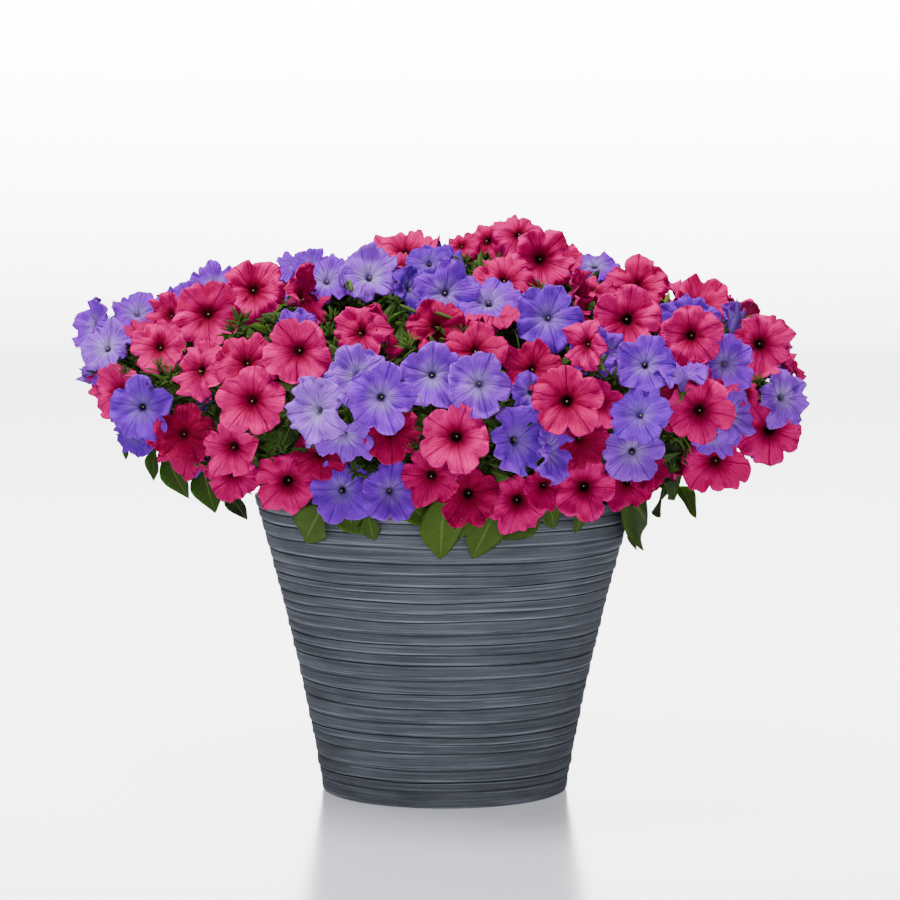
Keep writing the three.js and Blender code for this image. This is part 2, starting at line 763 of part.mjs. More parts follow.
// Each spray is cut clear of those before it, the outermost first.
const outermost = (spray) => Math.max(...spray.map((bloom) => bloom.layer));
const sprays = spraysOf(allBlooms()).sort((a, b) => outermost(b) - outermost(a));
const rooms = [];
const counts = { pink: 0, violet: 0 };
for (const spray of sprays) {
  let solid = spraySolid(spray);
  for (const other of rooms) {
    if (boxesMeet(solid, other)) solid = solid.subtract(other);
  }
  rooms.push(spraySolid(spray, CLEARANCE));
  const plant = spray[0].plant;
  counts[plant] += 1;
  const name = `petunia_${plant}_${String(counts[plant]).padStart(2, "0")}`;
  planted.add(meshOf(name, largestShell(solid), MATERIALS[plant]));
}
planted.add(meshOf("foliage", foliage(rooms), MATERIALS.leaf));

export default planted;
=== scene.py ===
# %% [markdown]
# # A patio pot of trailing petunias
# A round resin pot, moulded in uneven hoops, stands on a pale floor. Hot pink and violet
# petunias fill it and spill over its rim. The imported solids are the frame: they say where the
# pot, the potting mix, the leafy mound and each spray of blooms are. This lesson dresses them.

import math
from functools import partial

import bmesh
import bpy
import numpy as np
from mathutils import Matrix, Vector


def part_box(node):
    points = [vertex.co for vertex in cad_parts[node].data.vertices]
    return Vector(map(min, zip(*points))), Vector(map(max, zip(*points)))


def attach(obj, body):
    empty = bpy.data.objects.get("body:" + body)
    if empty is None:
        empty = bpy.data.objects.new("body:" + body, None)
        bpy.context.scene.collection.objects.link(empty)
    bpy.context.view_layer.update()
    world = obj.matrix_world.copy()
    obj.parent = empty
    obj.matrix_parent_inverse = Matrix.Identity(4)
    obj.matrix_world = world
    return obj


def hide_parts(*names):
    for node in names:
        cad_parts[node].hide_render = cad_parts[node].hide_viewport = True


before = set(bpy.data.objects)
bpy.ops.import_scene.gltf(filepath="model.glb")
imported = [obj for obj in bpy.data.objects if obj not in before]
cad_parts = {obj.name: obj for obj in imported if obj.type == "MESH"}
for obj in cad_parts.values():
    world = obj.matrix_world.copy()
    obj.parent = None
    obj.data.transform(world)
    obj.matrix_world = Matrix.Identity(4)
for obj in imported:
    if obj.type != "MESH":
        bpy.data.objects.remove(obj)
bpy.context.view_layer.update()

# %% [markdown]
# ## Helpers
# Colours are read as sRGB hex values, as on a paint card, and Blender mixes light in linear
# values, so one function turns the first into the second. Another adds any node with its
# settings and links. The others start and end a tree of geometry nodes, run it on an object,
# and keep the result as a plain mesh that rides on the pot's body.


# %% Colours and trees of nodes
def linear(colour):
    """An sRGB hex value as linear red, green, blue and alpha."""
    parts = [int(colour[i : i + 2], 16) / 255 for i in (1, 3, 5)]
    return (*[p / 12.92 if p <= 0.04045 else ((p + 0.055) / 1.055) ** 2.4 for p in parts], 1.0)


def add_node(tree, kind, inputs=(), **settings):
    """Adds a node, sets it up, and fills its inputs with values, sockets or other nodes."""
    node = tree.nodes.new(kind if kind.startswith("GeometryNode") else "ShaderNode" + kind)
    for key, value in settings.items():
        setattr(node, key, value)
    for key, value in dict(inputs).items():
        if isinstance(value, bpy.types.Node):
            value = value.outputs[0]
        if isinstance(value, bpy.types.NodeSocket):
            tree.links.new(value, node.inputs[key])
        else:
            node.inputs[key].default_value = value
    return node


def new_tree(name, **sockets):
    """A tree of geometry nodes with named inputs, and the sockets that give their values."""
    tree = bpy.data.node_groups.new(name, "GeometryNodeTree")
    tree.interface.new_socket("Geometry", in_out="INPUT", socket_type="NodeSocketGeometry")
    for label, kind in sockets.items():
        tree.interface.new_socket(label, in_out="INPUT", socket_type="NodeSocket" + kind)
    tree.interface.new_socket("Geometry", in_out="OUTPUT", socket_type="NodeSocketGeometry")
    return tree, tree.nodes.new("NodeGroupInput").outputs


def end_tree(tree, given, geometry, smooth=True):
    """Shades the geometry smooth where wanted, gives it the tree's Finish, and hands it out."""
    if smooth:
        geometry = add_node(tree, "GeometryNodeSetShadeSmooth", {"Geometry": geometry})
    finished = {"Geometry": geometry, "Material": given["Finish"]}
    made = add_node(tree, "GeometryNodeSetMaterial", finished)
    tree.links.new(made.outputs[0], tree.nodes.new("NodeGroupOutput").inputs[0])
    print(tree.name, "tree:", len(tree.nodes), "nodes")
    return tree


print("mid grey in linear light:", round(linear("#808080")[0], 3))


# %% Objects and pieces
def in_scene(item):
    bpy.context.scene.collection.objects.link(item)
    return item


def mesh_object(name, points, faces=(), edges=(), **attributes):
    """An object with a mesh of its own, and with named values on its points."""
    mesh = bpy.data.meshes.new(name)
    mesh.from_pydata([tuple(p) for p in points], list(edges), list(faces))
    for key, values in attributes.items():
        values = np.asarray(values, dtype=np.float32)
        kind, part = ("FLOAT_VECTOR", "vector") if values.ndim == 2 else ("FLOAT", "value")
        mesh.attributes.new(key, kind, "POINT").data.foreach_set(part, values.ravel())
    return bpy.data.objects.new(name, mesh)


def grown(name, source, tree, **values):
    """Runs the tree on the source object and keeps the result as a plain mesh object."""
    if not source.users_collection:
        in_scene(source)
    modifier = source.modifiers.new("grow", "NODES")
    modifier.node_group = tree
    for item in tree.interface.items_tree:
        if item.in_out == "INPUT" and item.name.lower() in values:
            modifier[item.identifier] = values[item.name.lower()]
    shaped = source.evaluated_get(bpy.context.evaluated_depsgraph_get())
    mesh = bpy.data.meshes.new_from_object(shaped)
    bpy.data.objects.remove(source)
    return in_scene(bpy.data.objects.new(name, mesh))


def finish_piece(piece, slot, *nodes):
    """The piece rides on the pot's body and may stand for nodes of the frame; slot is not used."""
    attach(piece, "root")
    if nodes:
        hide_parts(*nodes)
    piece.data.calc_loop_triangles()
    return len(piece.data.loop_triangles)


# %% [markdown]
# ## Camera
# The photograph was taken from a little above the pot's rim, far enough away for a long lens.
# The blooms were placed in the frame along lines of sight through this eye, so the camera
# stands there too.

# %% Camera
EYE = np.array([0.0044, -3.2, 0.565])
AIM = np.array([0.0044, 0.0, 0.287])
FOCAL_PIXELS = 3825
FRAME_PIXELS = 900
SENSOR = 36


def turned_along(way):
    """The turn that points a camera or a light along a way."""
    return Vector(way).to_track_quat("-Z", "Y").to_euler()


camera = in_scene(bpy.data.objects.new("camera", bpy.data.cameras.new("camera")))
camera.data.sensor_width = SENSOR
camera.data.lens = FOCAL_PIXELS / FRAME_PIXELS * SENSOR
camera.location = Vector(EYE)
camera.rotation_euler = turned_along(AIM - EYE)
bpy.context.scene.camera = camera
print("lens:", round(camera.data.lens, 1), "mm")

# %% [markdown]
# ## Where the blooms stand
# Each bloom of the frame was placed by a rule, and the same rule gives its place here: the
# middle of its face, the way it faces, its radius and its turn about its own axis. Blooms that
# are seen are listed. The others follow a spiral, as seeds do on a flower head, because
# it covers a round form evenly without rows.

# %% The surfaces that the faces and the leaves follow
# Radius and height in mm, from the rim outwards and up to the axis. The faces lie on the crown.
# The leaves grow from the mound, from its row LIP on, where it comes out of the pot.
CROWN = [
    (172, 256), (229, 275), (265, 297), (290, 325), (302, 352), (293, 380),
    (262, 402), (216, 416), (125, 446), (60, 460), (0, 459),
]
MOUND = [
    (0, 236), (128, 236), (148, 252), (166, 262), (198, 292), (232, 322),
    (252, 350), (240, 362), (210, 374), (116, 402), (50, 419), (0, 425),
]
LIP = 3
OUTLINE_STEPS = 200
GOLDEN_ANGLE = 2.39996
MM = 0.001
UP = np.array([0, 0, 1.0])
print("rows:", len(CROWN), "of the crown and", len(MOUND), "of the mound")


# %% Points along the surfaces and near them
def spline_points(points, count):
    """Points at even steps along a curve that passes through the given points."""
    points = np.array(points, float)
    last = len(points) - 1
    made = []
    for i in range(count + 1):
        place = last * i / count
        at = min(int(place), last)
        t = place - at
        p0, p1 = points[max(at - 1, 0)], points[at]
        p2, p3 = points[min(at + 1, last)], points[min(at + 2, last)]
        v0, v1 = (p2 - p0) / 2, (p3 - p1) / 2
        cubic = (2 * p1 - 2 * p2 + v0 + v1) * t**3
        made.append(cubic + (-3 * p1 + 3 * p2 - 2 * v0 - v1) * t**2 + v0 * t + p1)
    return np.array(made)


def spaced_points(points, count):
    """Points at even distances along straight lines between the given points."""
    points = np.array(points, float)
    lengths = np.linalg.norm(np.diff(points, axis=0), axis=1)
    along = np.concatenate([[0], np.cumsum(lengths)])
    at = np.linspace(0, along[-1], count + 1)
    return np.stack([np.interp(at, along, points[:, k]) for k in (0, 1)], axis=1)


def around(radius, angle, z):
    return np.array([radius * math.cos(angle), radius * math.sin(angle), z])


def unit(v):
    return v / np.linalg.norm(v)


def shares_round(outline):
    """How the area of a turned outline adds up along it, from 0 to 1."""
    lengths = np.linalg.norm(np.diff(outline, axis=0), axis=1)
    shares = np.concatenate([[0], np.cumsum(lengths * (outline[1:, 0] + outline[:-1, 0]) / 2)])
    return shares / shares[-1]


def nearest_index(outline, point):
    here = np.array([math.hypot(point[0], point[1]), point[2]])
    return int(np.argmin(((outline - here) ** 2).sum(axis=1)))


def nearest_on_crown(point):
    """The way out of the crown near a point, and how far inside it the point lies."""
    best = nearest_index(crown_points, point)
    low, high = max(best - 1, 0), min(best + 1, len(crown_points) - 1)
    along = unit(crown_points[high] - crown_points[low])
    out = np.array([along[1], -along[0]])
    here = np.array([math.hypot(point[0], point[1]), point[2]])
    outwards = around(out[0], math.atan2(point[1], point[0]), out[1])
    return outwards, -(here - crown_points[best]) @ out


crown_points = spline_points(CROWN, OUTLINE_STEPS) * MM
mound_points = spaced_points(MOUND[LIP:], OUTLINE_STEPS) * MM
crown_shares, mound_shares = shares_round(crown_points), shares_round(mound_points)
print("crown:", crown_points.max(axis=0).round(3), "mound:", mound_points.max(axis=0).round(3), "m")

# %% The blooms that are seen
# Pixels across and down, colour, pixels of radius, degrees that it faces right and up of the
# eye, layer, and its tone from deep (-1) to light (1), partly its own colour beside its
# neighbours and partly painted shade and painted light.
SEEN = [
    (89, 322, "violet", 27, -62, 20, 0, 0), (104, 344, "pale", 29, -30, 35, 1, 0.6),
    (137, 309, "violet", 28, -5, 42, -1, 0), (158, 345, "pink", 29, -15, 20, 0, 0.3),
    (166, 314, "pink", 26, -45, 15, -1, 0.1), (207, 314, "pink", 35, -5, 5, 1, 0.5),
    (215, 281, "violet", 27, -5, 40, -1, 0), (254, 288, "pink", 34, 0, 18, 1, 0.6),
    (195, 370, "pink", 32, -50, 5, 0, 0.2), (246, 360, "pink", 32, -8, 25, -1, -0.2),
    (297, 351, "pink", 35, -12, 0, 1, 0.6), (251, 401, "pink", 35, -10, -5, 1, 0.2),
    (116, 392, "pink", 31, -40, 5, -1, 0.4), (141, 408, "violet", 33, -8, -5, 1, -0.5),
    (132, 440, "violet", 21, -30, -35, -1, -0.7), (185, 432, "pink", 32, 5, 15, -1, -0.9),
    (231, 449, "pink", 30, -25, -20, 1, 0.4), (233, 478, "pink", 27, -10, -35, -1, 0),
    (326, 276, "violet", 31, -5, 38, 0, 0), (369, 273, "pale", 32, 0, 32, 0, 0.5),
    (309, 297, "pink", 34, 68, 15, -1, -0.5), (357, 331, "pink", 30, -35, 15, 0, 0),
    (388, 325, "pink", 30, 80, 25, -1, -0.6), (357, 374, "pale", 33, -5, 15, 0, 0.4),
    (381, 397, "violet", 35, 0, 0, 2, 0), (312, 409, "pale", 35, -42, 5, 1, 0.9),
    (344, 441, "violet", 31, 0, -48, 1, 0.2), (392, 432, "pink", 31, 10, -5, -1, -0.8),
    (288, 484, "pink", 34, 0, -22, 0, 0), (340, 490, "violet", 32, -12, 0, 1, -0.4),
    (391, 491, "violet", 31, 8, 0, 1, -0.3), (405, 245, "pink", 33, 0, 58, 0, 0.3),
    (428, 260, "violet", 25, -10, 35, -1, -0.7), (445, 291, "violet", 34, 0, 12, 1, -0.3),
    (460, 243, "pink", 20, -20, 40, -1, 0), (484, 238, "pink", 28, -30, 25, 0, 0.3),
    (519, 231, "pink", 28, 0, 35, -1, 0.4), (543, 259, "pink", 34, 18, 5, 1, 0.6),
    (504, 277, "pink", 34, 0, 35, 0, 0), (595, 260, "violet", 28, 5, 55, -1, 0),
    (489, 297, "violet", 34, 0, 42, 0, 0), (495, 313, "pink", 30, 5, 82, 0, -0.2),
    (548, 316, "violet", 34, 0, 12, 1, -0.5), (583, 294, "pink", 28, 78, 10, -1, -0.4),
    (474, 347, "pink", 33, -5, 28, 0, -0.4), (432, 374, "violet", 33, 0, 5, 0, 0.1),
    (479, 384, "violet", 34, 0, 0, 1, 0.2), (531, 366, "pink", 30, -5, 25, -1, -0.7),
    (582, 344, "pink", 27, -48, 0, 1, 0.7), (567, 400, "pink", 37, 0, 5, 1, -0.2),
    (602, 403, "pink", 26, 20, 10, -1, 0), (627, 319, "pink", 36, 0, 5, 1, 0.5),
    (637, 284, "pink", 34, 0, 22, 0, 0), (691, 335, "pink", 32, 0, 5, 1, 0.4),
    (688, 319, "violet", 31, 0, 25, -1, -0.4), (702, 302, "pink", 30, 20, 38, -1, 0),
    (733, 317, "violet", 18, 50, 20, -1, 0), (764, 344, "pink", 34, 28, 0, 1, 0.5),
    (727, 363, "violet", 30, 18, 5, 0, 0), (645, 363, "violet", 31, 0, 15, 0, -0.3),
    (681, 371, "violet", 29, -10, 80, 1, 0), (692, 382, "pink", 27, 0, 30, -1, -0.5),
    (700, 410, "pink", 34, 5, -3, 2, 0.3), (673, 402, "pink", 26, -20, 10, -1, -0.5),
    (725, 382, "pink", 16, 30, 60, 0, 0), (733, 415, "pale", 29, 40, 0, 0, 0.3),
    (714, 440, "pale", 26, 0, -40, 0, 0.2), (786, 396, "pale", 30, 35, 8, 0, 0.4),
    (771, 431, "pink", 35, 10, -8, 1, 0.5), (751, 393, "pink", 22, 65, 10, -1, 0),
    (715, 465, "pink", 34, 0, -25, 0, 0), (640, 413, "violet", 32, 0, 15, 1, -0.6),
    (632, 452, "pale", 31, 0, -5, 0, 0.4), (627, 485, "pink", 28, 0, -22, -1, -0.5),
    (455, 437, "pink", 36, -8, 0, 2, 0.6), (468, 495, "pink", 33, 0, -10, 0, -0.8),
    (518, 502, "pink", 33, 5, -15, 1, 0.2), (584, 487, "pink", 32, 0, -3, 1, 0.5),
    (521, 440, "violet", 36, 40, 0, 1, -0.4), (556, 450, "violet", 35, 60, 0, 1, -0.2),
    (534, 391, "violet", 25, 25, 10, -0.5, -0.4), (583, 440, "pink", 28, 30, -10, -1, -0.9),
    (430, 478, "pink", 31, -10, -20, 0, -0.4), (545, 487, "pink", 24, 15, -15, -1, -0.3),
]
# Blooms of which only a sliver shows, deep between the others. They aren't in the frame.
BEHIND = [
    (187, 296, "pale", 22, -10, 50, -2, 0), (160, 428, "pink", 20, -20, 0, -2, -0.4),
    (300, 262, "violet", 25, 0, 55, -2, 0), (312, 262, "violet", 22, 10, 45, -2, -0.5),
    (296, 328, "violet", 24, -10, 30, -2, 0), (319, 455, "pink", 28, -5, -10, -2, -0.8),
    (403, 262, "pink", 18, 20, 60, -2, 0), (413, 287, "violet", 26, 40, 20, -2, -0.9),
    (449, 259, "violet", 20, 10, 40, -2, -0.7), (563, 255, "pink", 21, 20, 40, -2, 0),
    (598, 287, "pink", 22, 60, 50, -2, 0), (437, 326, "pink", 31, 0, 10, -2, -0.6),
    (594, 350, "violet", 26, 20, 15, -2, 0), (648, 470, "pink", 22, 25, -10, -2, -0.8),
    (612, 352, "violet", 24, 30, 10, -2, 0), (656, 390, "pink", 22, 0, 20, -2, -0.8),
]
print("blooms noted in the photograph:", len(SEEN) + len(BEHIND))

# %% The seen blooms in the room
LAYER = 0.012  # metres towards the eye for each layer
CROWN_REACHES = np.arange(2.860, 3.2999, 0.004)  # metres from the eye, before and in the crown
forward = unit(AIM - EYE)
upward = np.array([0, -forward[2], forward[1]])


def sight_line(across, down):
    """The direction from the eye through a pixel."""
    right = np.array([1.0, 0, 0]) * (across - FRAME_PIXELS / 2)
    return forward + (right + upward * (FRAME_PIXELS / 2 - down)) / FOCAL_PIXELS


def sighted(across, down):
    """The first point of the crown on a line of sight, or the one nearest to it."""
    best, best_inside = None, -1e9
    for reach in CROWN_REACHES:
        point = EYE + sight_line(across, down) * reach
        inside = nearest_on_crown(point)[1]
        if inside > best_inside:
            best, best_inside = point, inside
        if inside >= 0:
            break
    return best


def new_bloom(face, facing, colour, radius, tone, layer=0):
    """A bloom of the pink plants, or of the violet ones, whose blooms are pale or violet."""
    plant = "pink" if colour == "pink" else "violet"
    return dict(face=face, facing=facing, plant=plant, radius=radius, tone=tone, layer=layer)


def seen_bloom(row):
    across, down, colour, pixels, right, up, layer, tone = row
    face = sighted(across, down)
    to_eye = unit(EYE - face)
    turn = Matrix.Rotation(math.radians(right), 3, "Z")
    lift = Matrix.Rotation(math.radians(up), 3, Vector((-1, 0, 0)))
    facing = np.array(turn @ lift @ Vector(to_eye))
    radius = pixels * np.linalg.norm(EYE - face) / FOCAL_PIXELS
    return new_bloom(face + to_eye * layer * LAYER, facing, colour, radius, tone, layer)


seen = [seen_bloom(row) for row in SEEN]
print("seen blooms:", len(seen))

# %% The blooms on the other sides
SPIRAL = dict(count=122, first=0.11, clear=0.045, lift=0.016, radius=0.031)
HIDDEN = dict(back=0.02, top_z=0.4, top_back=0.05)
PATCH = 0.12  # above this, slow waves round the plant turn from pink to violet
LEAN = 0.5  # how far a bloom may lean aside from the crown's way out
LOBES = 5
LOBE_TURN = 360 / LOBES
HALF_LOBE = LOBE_TURN / 2
SEED = 4583


def drawer(seed):
    """Seeded draws from 0 to 1, the same on every run."""
    while True:
        seed = (seed * 1664525 + 1013904223) % 4294967296
        yield seed / 4294967296


draws = drawer(SEED)


def on_spiral(rule, i):
    """The place of bloom i on the crown, at even steps of its area."""
    share = rule["first"] + (1 - rule["first"]) * (i + 0.5) / rule["count"]
    at = int(np.argmax(crown_shares >= share))
    return around(crown_points[at, 0], i * GOLDEN_ANGLE, crown_points[at, 1])


def crowded(place, others, clear):
    return min(np.linalg.norm(b["face"] - place) for b in others) < clear


def leaning(outwards, tilt, turn):
    return unit(outwards + around(LEAN * tilt, 2 * math.pi * turn, 0.1))


def sized(radius, size):
    """A radius within 8% of the usual one."""
    return radius * (0.92 + 0.16 * size)


def spiral_bloom(i):
    place = on_spiral(SPIRAL, i)
    lift, tilt, turn, size = [next(draws) for _ in range(4)]
    if place[1] < HIDDEN["top_back" if place[2] > HIDDEN["top_z"] else "back"]:
        return None
    if crowded(place, seen, SPIRAL["clear"]):
        return None
    outwards = nearest_on_crown(place)[0]
    face = place + outwards * SPIRAL["lift"] * (lift - 0.5)
    x, y, z = face / MM
    patch = math.sin(x / 47 + 1) * math.sin(y / 41) + 0.4 * math.sin(z / 23)
    colour = ("violet" if i % 3 else "pale") if patch > PATCH else "pink"
    # A bloom sunk into the crown gets a deeper tone and one that stands out a lighter one: painted shade
    # and painted light.
    tone = 0.5 if colour == "pale" else 1.2 * lift - 0.6
    return new_bloom(face, leaning(outwards, tilt, turn), colour, sized(SPIRAL["radius"], size), tone)


blooms = seen + [bloom for i in range(SPIRAL["count"]) if (bloom := spiral_bloom(i))]
for bloom in blooms:
    bloom["roll"] = LOBE_TURN * next(draws)
print("blooms:", len(blooms))

# %% Sprays of blooms, one for each node of the frame
SPRAYS = 56
MOST_IN_A_SPRAY = 4
TURN_COST = 0.030
NEVER = 9


def joined(sprays):
    """Joins the two sprays of one plant that are nearest to each other."""
    faces = np.array([np.mean([b["face"] for b in s], axis=0) for s in sprays])
    ways = np.array([np.mean([b["facing"] for b in s], axis=0) for s in sprays])
    cost = np.linalg.norm(faces[:, None] - faces, axis=2)
    cost += TURN_COST * np.linalg.norm(ways[:, None] - ways, axis=2)
    pink = np.array([s[0]["plant"] == "pink" for s in sprays])
    sizes = np.array([len(s) for s in sprays])
    cost[pink[:, None] != pink] = NEVER
    cost[sizes[:, None] + sizes > MOST_IN_A_SPRAY] = NEVER
    cost[np.triu_indices(len(sprays))] = NEVER
    i, j = np.unravel_index(np.argmin(cost), cost.shape)
    sprays[j].extend(sprays.pop(i))
    return sprays


def leader_first(spray):
    centre = np.mean([b["face"] for b in spray], axis=0)
    return sorted(spray, key=lambda b: np.linalg.norm(b["face"] - centre))


sprays = [[bloom] for bloom in blooms]
while len(sprays) > SPRAYS:
    sprays = joined(sprays)
sprays = [leader_first(spray) for spray in sprays]
sprays.sort(key=lambda spray: -max(b["layer"] for b in spray))

named_sprays = {}
counts = {"pink": 0, "violet": 0}
for spray in sprays:
    plant = spray[0]["plant"]
    counts[plant] += 1
    named_sprays[f"petunia_{plant}_{counts[plant]:02d}"] = spray


def off_box(name, spray):
    """How far the middle of a spray's faces is from the middle of its node's box."""
    low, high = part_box(name)
    middle = np.mean([b["face"] for b in spray], axis=0)
    return np.linalg.norm(middle - np.array((low + high) / 2))


worst = max(off_box(name, spray) for name, spray in named_sprays.items())
print("sprays:", counts, "furthest from its node:", round(worst, 3), "m")

# %% [markdown]
# ## Blooms between the others
# Blooms also open low in the mass, where a neighbour covers most of them. Deep behind the seen
# ones only slivers show, which are placed like the seen blooms. At the two sides they fill the
# hollows between front and back, and are placed by the spiral, a little under the crown. Both
# kinds are sunk between their neighbours and hardly change the outline, so the frame has none.


# %% The blooms deep between the others
def add_between(place, bloom):
    named_sprays.setdefault(f"{place}_{bloom['plant']}_blooms", []).append(bloom)


for row in BEHIND:
    add_between("deep", seen_bloom(row) | {"roll": LOBE_TURN * next(draws)})
print("deep blooms:", len(BEHIND))

# %% The blooms low between the others at the sides
SIDE = dict(count=300, first=0.04, clear=0.037, radius=0.026)
SIDE_FRONT, SIDE_BACK, SIDE_TOP = -0.07, 0.03, 0.44
SIDE_SINK = 0.011
PINK_SHARE = 0.55
before = len(blooms)
for i in range(SIDE["count"]):
    place = on_spiral(SIDE, i)
    tilt, turn, size, pick = [next(draws) for _ in range(4)]
    if not SIDE_FRONT < place[1] < SIDE_BACK or place[2] > SIDE_TOP:
        continue
    if crowded(place, blooms, SIDE["clear"]):
        continue
    outwards = nearest_on_crown(place)[0]
    face, facing = place - outwards * SIDE_SINK, leaning(outwards, tilt, turn)
    colour = "pink" if pick < PINK_SHARE else "violet"
    bloom = new_bloom(face, facing, colour, sized(SIDE["radius"], size), 0.8 * size - 0.6)
    blooms.append(bloom | {"roll": LOBE_TURN * pick})
    add_between("side", blooms[-1])
print("blooms at the sides:", len(blooms) - before)

# %% [markdown]
# ## One petunia bloom
# A petunia's petals are joined into one funnel with five lobes. It is about 2 mm of tissue at
# the tube and paper-thin at the lobes. It could be cut from five petals, but the real one is a
# single sheet, so the mesh is one closed skin: rings run from the throat out to the rim, round
# the edge and back down the tube. Its radius is 1, and it is scaled where it is planted.

# %% The section of a bloom
AROUND = 60
FUNNEL = [  # share of the way to the rim, and height
    (0.05, -0.46), (0.1, -0.37), (0.15, -0.29), (0.21, -0.225), (0.3, -0.165), (0.41, -0.115),
    (0.54, -0.07), (0.67, -0.035), (0.79, -0.01), (0.89, 0.0), (0.96, -0.008), (1.0, -0.03),
]
TUBE = [  # the same for the skin behind, which runs on down the tube
    (0.96, -0.038), (0.89, -0.03), (0.79, -0.04), (0.67, -0.065), (0.54, -0.1), (0.41, -0.15),
    (0.3, -0.215), (0.22, -0.3), (0.17, -0.42), (0.135, -0.56), (0.1, -0.7), (0.075, -0.8),
    (0.05, -0.83),
]
TUBE_END = 0.83
THROAT = 0.14
# Waves round the rim: how many, and how high as a share of the radius.
RIM_WAVES = ((1, 0.03), (2, 0.035), (3, 0.03), (7, 0.014), (13, 0.014), (19, 0.01))
RUFFLES = (7, 9, 11, 14, 17)
FRONT_SKIN, BACK_SKIN, KNOB = 0, 1, 2
print("rings of points in a bloom:", len(FUNNEL) + len(TUBE))


# %% The chances of one bloom
def lobe_angle(turn):
    """Degrees from the nearest lobe's midrib, at most half a lobe to either side."""
    return (math.degrees(turn) + HALF_LOBE) % LOBE_TURN - HALF_LOBE


class Petals:
    """The chances of one bloom: how its five lobes are cut, bent, stretched and ruffled."""

    def __init__(self, number, pointed):
        rng = np.random.default_rng(SEED + number)
        self.cuts = rng.uniform(0.1, 0.34, LOBES)
        self.bends = rng.uniform(-0.34, 0.16, LOBES)
        self.reaches = rng.uniform(-0.06, 0.06, LOBES)
        self.point = rng.uniform(0.05, 0.09) if pointed else rng.uniform(0.0, 0.03)
        self.depth = rng.uniform(0.08, 0.17)
        self.waves = [(k, a * rng.uniform(0.4, 1), rng.uniform(0, 6.3)) for k, a in RIM_WAVES]
        strength = 0.034 if pointed else 0.02
        self.ruffles = [(k, strength * rng.uniform(0.3, 1), rng.uniform(0, 6.3)) for k in RUFFLES]

    def lobe(self, turn):
        """Which lobe a turn lies on, and how near to its midrib, from 0 to 1."""
        near = math.cos(math.radians(lobe_angle(turn)) * 2.5) ** 2
        return round(math.degrees(turn) / LOBE_TURN) % LOBES, near

    def reach(self, turn):
        """How far the rim reaches: notched between the lobes, pointed at their tips."""
        phi = abs(lobe_angle(turn))
        lobe, near = self.lobe(turn)
        notch = self.cuts[int(math.degrees(turn) % 360 / LOBE_TURN)] * (phi / HALF_LOBE) ** 5
        tip = self.point * max(0, 1 - phi / 14)
        uneven = sum(a * math.sin(k * turn + p) for k, a, p in self.waves)
        return 0.985 - notch + tip + self.reaches[lobe] * near + uneven

    def lift(self, turn, share):
        """The star of folds, the bend of each lobe, and fine ruffles at the rim."""
        phi = lobe_angle(turn)
        lobe, near = self.lobe(turn)
        limb = math.sin(math.pi * min(1, max(0, (share - THROAT) / 0.93))) ** 0.7
        valley = self.depth * math.exp(-(((HALF_LOBE - abs(phi)) / 9) ** 2))
        groove = 0.02 * math.exp(-((phi / 3.5) ** 2))
        ruffled = sum(a * math.sin(k * turn + p) for k, a, p in self.ruffles)
        return -(valley + groove) * limb + self.bends[lobe] * near * share**2.5 + ruffled * share**4


print("degrees from a midrib, at a turn of 100:", round(lobe_angle(math.radians(100))))


# %% The mesh of one bloom
def tube_faces(first, rings, sides):
    """Faces between rings of points that start at the first point, and a cap at each end."""
    faces = []
    for start in range(first, first + (rings - 1) * sides, sides):
        for i in range(sides):
            a, b = start + i, start + (i + 1) % sides
            faces.append((a, b, b + sides, a + sides))
    top = first + (rings - 1) * sides
    caps = [tuple(range(first + sides - 1, first - 1, -1)), tuple(range(top, top + sides))]
    return faces + caps


def bloom_template(number, pointed):
    """One shape of bloom. Its points keep their place on the petals for the materials."""
    shape = Petals(number, pointed)
    turns = [2 * math.pi * i / AROUND for i in range(AROUND)]
    points, petals, back = [(0, 0, FUNNEL[0][1] - 0.02)], [(0, 0, 0)], [FRONT_SKIN]
    for skin, rings in ((FRONT_SKIN, FUNNEL), (BACK_SKIN, TUBE)):
        for share, height in rings:
            for turn in turns:
                reach = share * (1 + (shape.reach(turn) - 1) * share**1.5)
                lift = height + shape.lift(turn, share) * (share > THROAT)
                points.append((reach * math.cos(turn), reach * math.sin(turn), lift))
                petals.append((share * math.cos(turn), share * math.sin(turn), height))
                back.append(skin)
    points.append((0, 0, TUBE[-1][1] - 0.01))
    petals.append((0, 0, TUBE[-1][1]))
    back.append(BACK_SKIN)
    last = 1 + (len(FUNNEL) + len(TUBE) - 1) * AROUND
    faces = []
    for i in range(AROUND):
        j = (i + 1) % AROUND
        faces.append((0, 1 + i, 1 + j))
        for a in range(1, last, AROUND):
            b = a + AROUND
            faces.append((a + i, b + i, b + j, a + j))
        faces.append((last + i, len(points) - 1, last + j))
    return points, faces, petals, back


def add_knob(template, centre, radius, root, sides=6):
    """A small knob on a thin stem, for the stigma and the anthers in the throat."""
    points, faces, petals, back = template
    first = len(points)
    low, high = centre - Vector((0, 0, radius)), centre + Vector((0, 0, radius * 0.7))
    rings = [(root, 0.25), (low, 0.3), (centre, 1), (high, 0.7)]
    for middle, wide in rings:
        for i in range(sides):
            turn = 2 * math.pi * i / sides
            out = Vector((math.cos(turn), math.sin(turn), 0))
            points.append(tuple(middle + out * radius * wide))
            petals.append((FUNNEL[0][0], 0, 0))
            back.append(KNOB)
    faces += tube_faces(first, len(rings), sides)


print("faces in a knob of four rings:", len(tube_faces(0, 4, 6)))

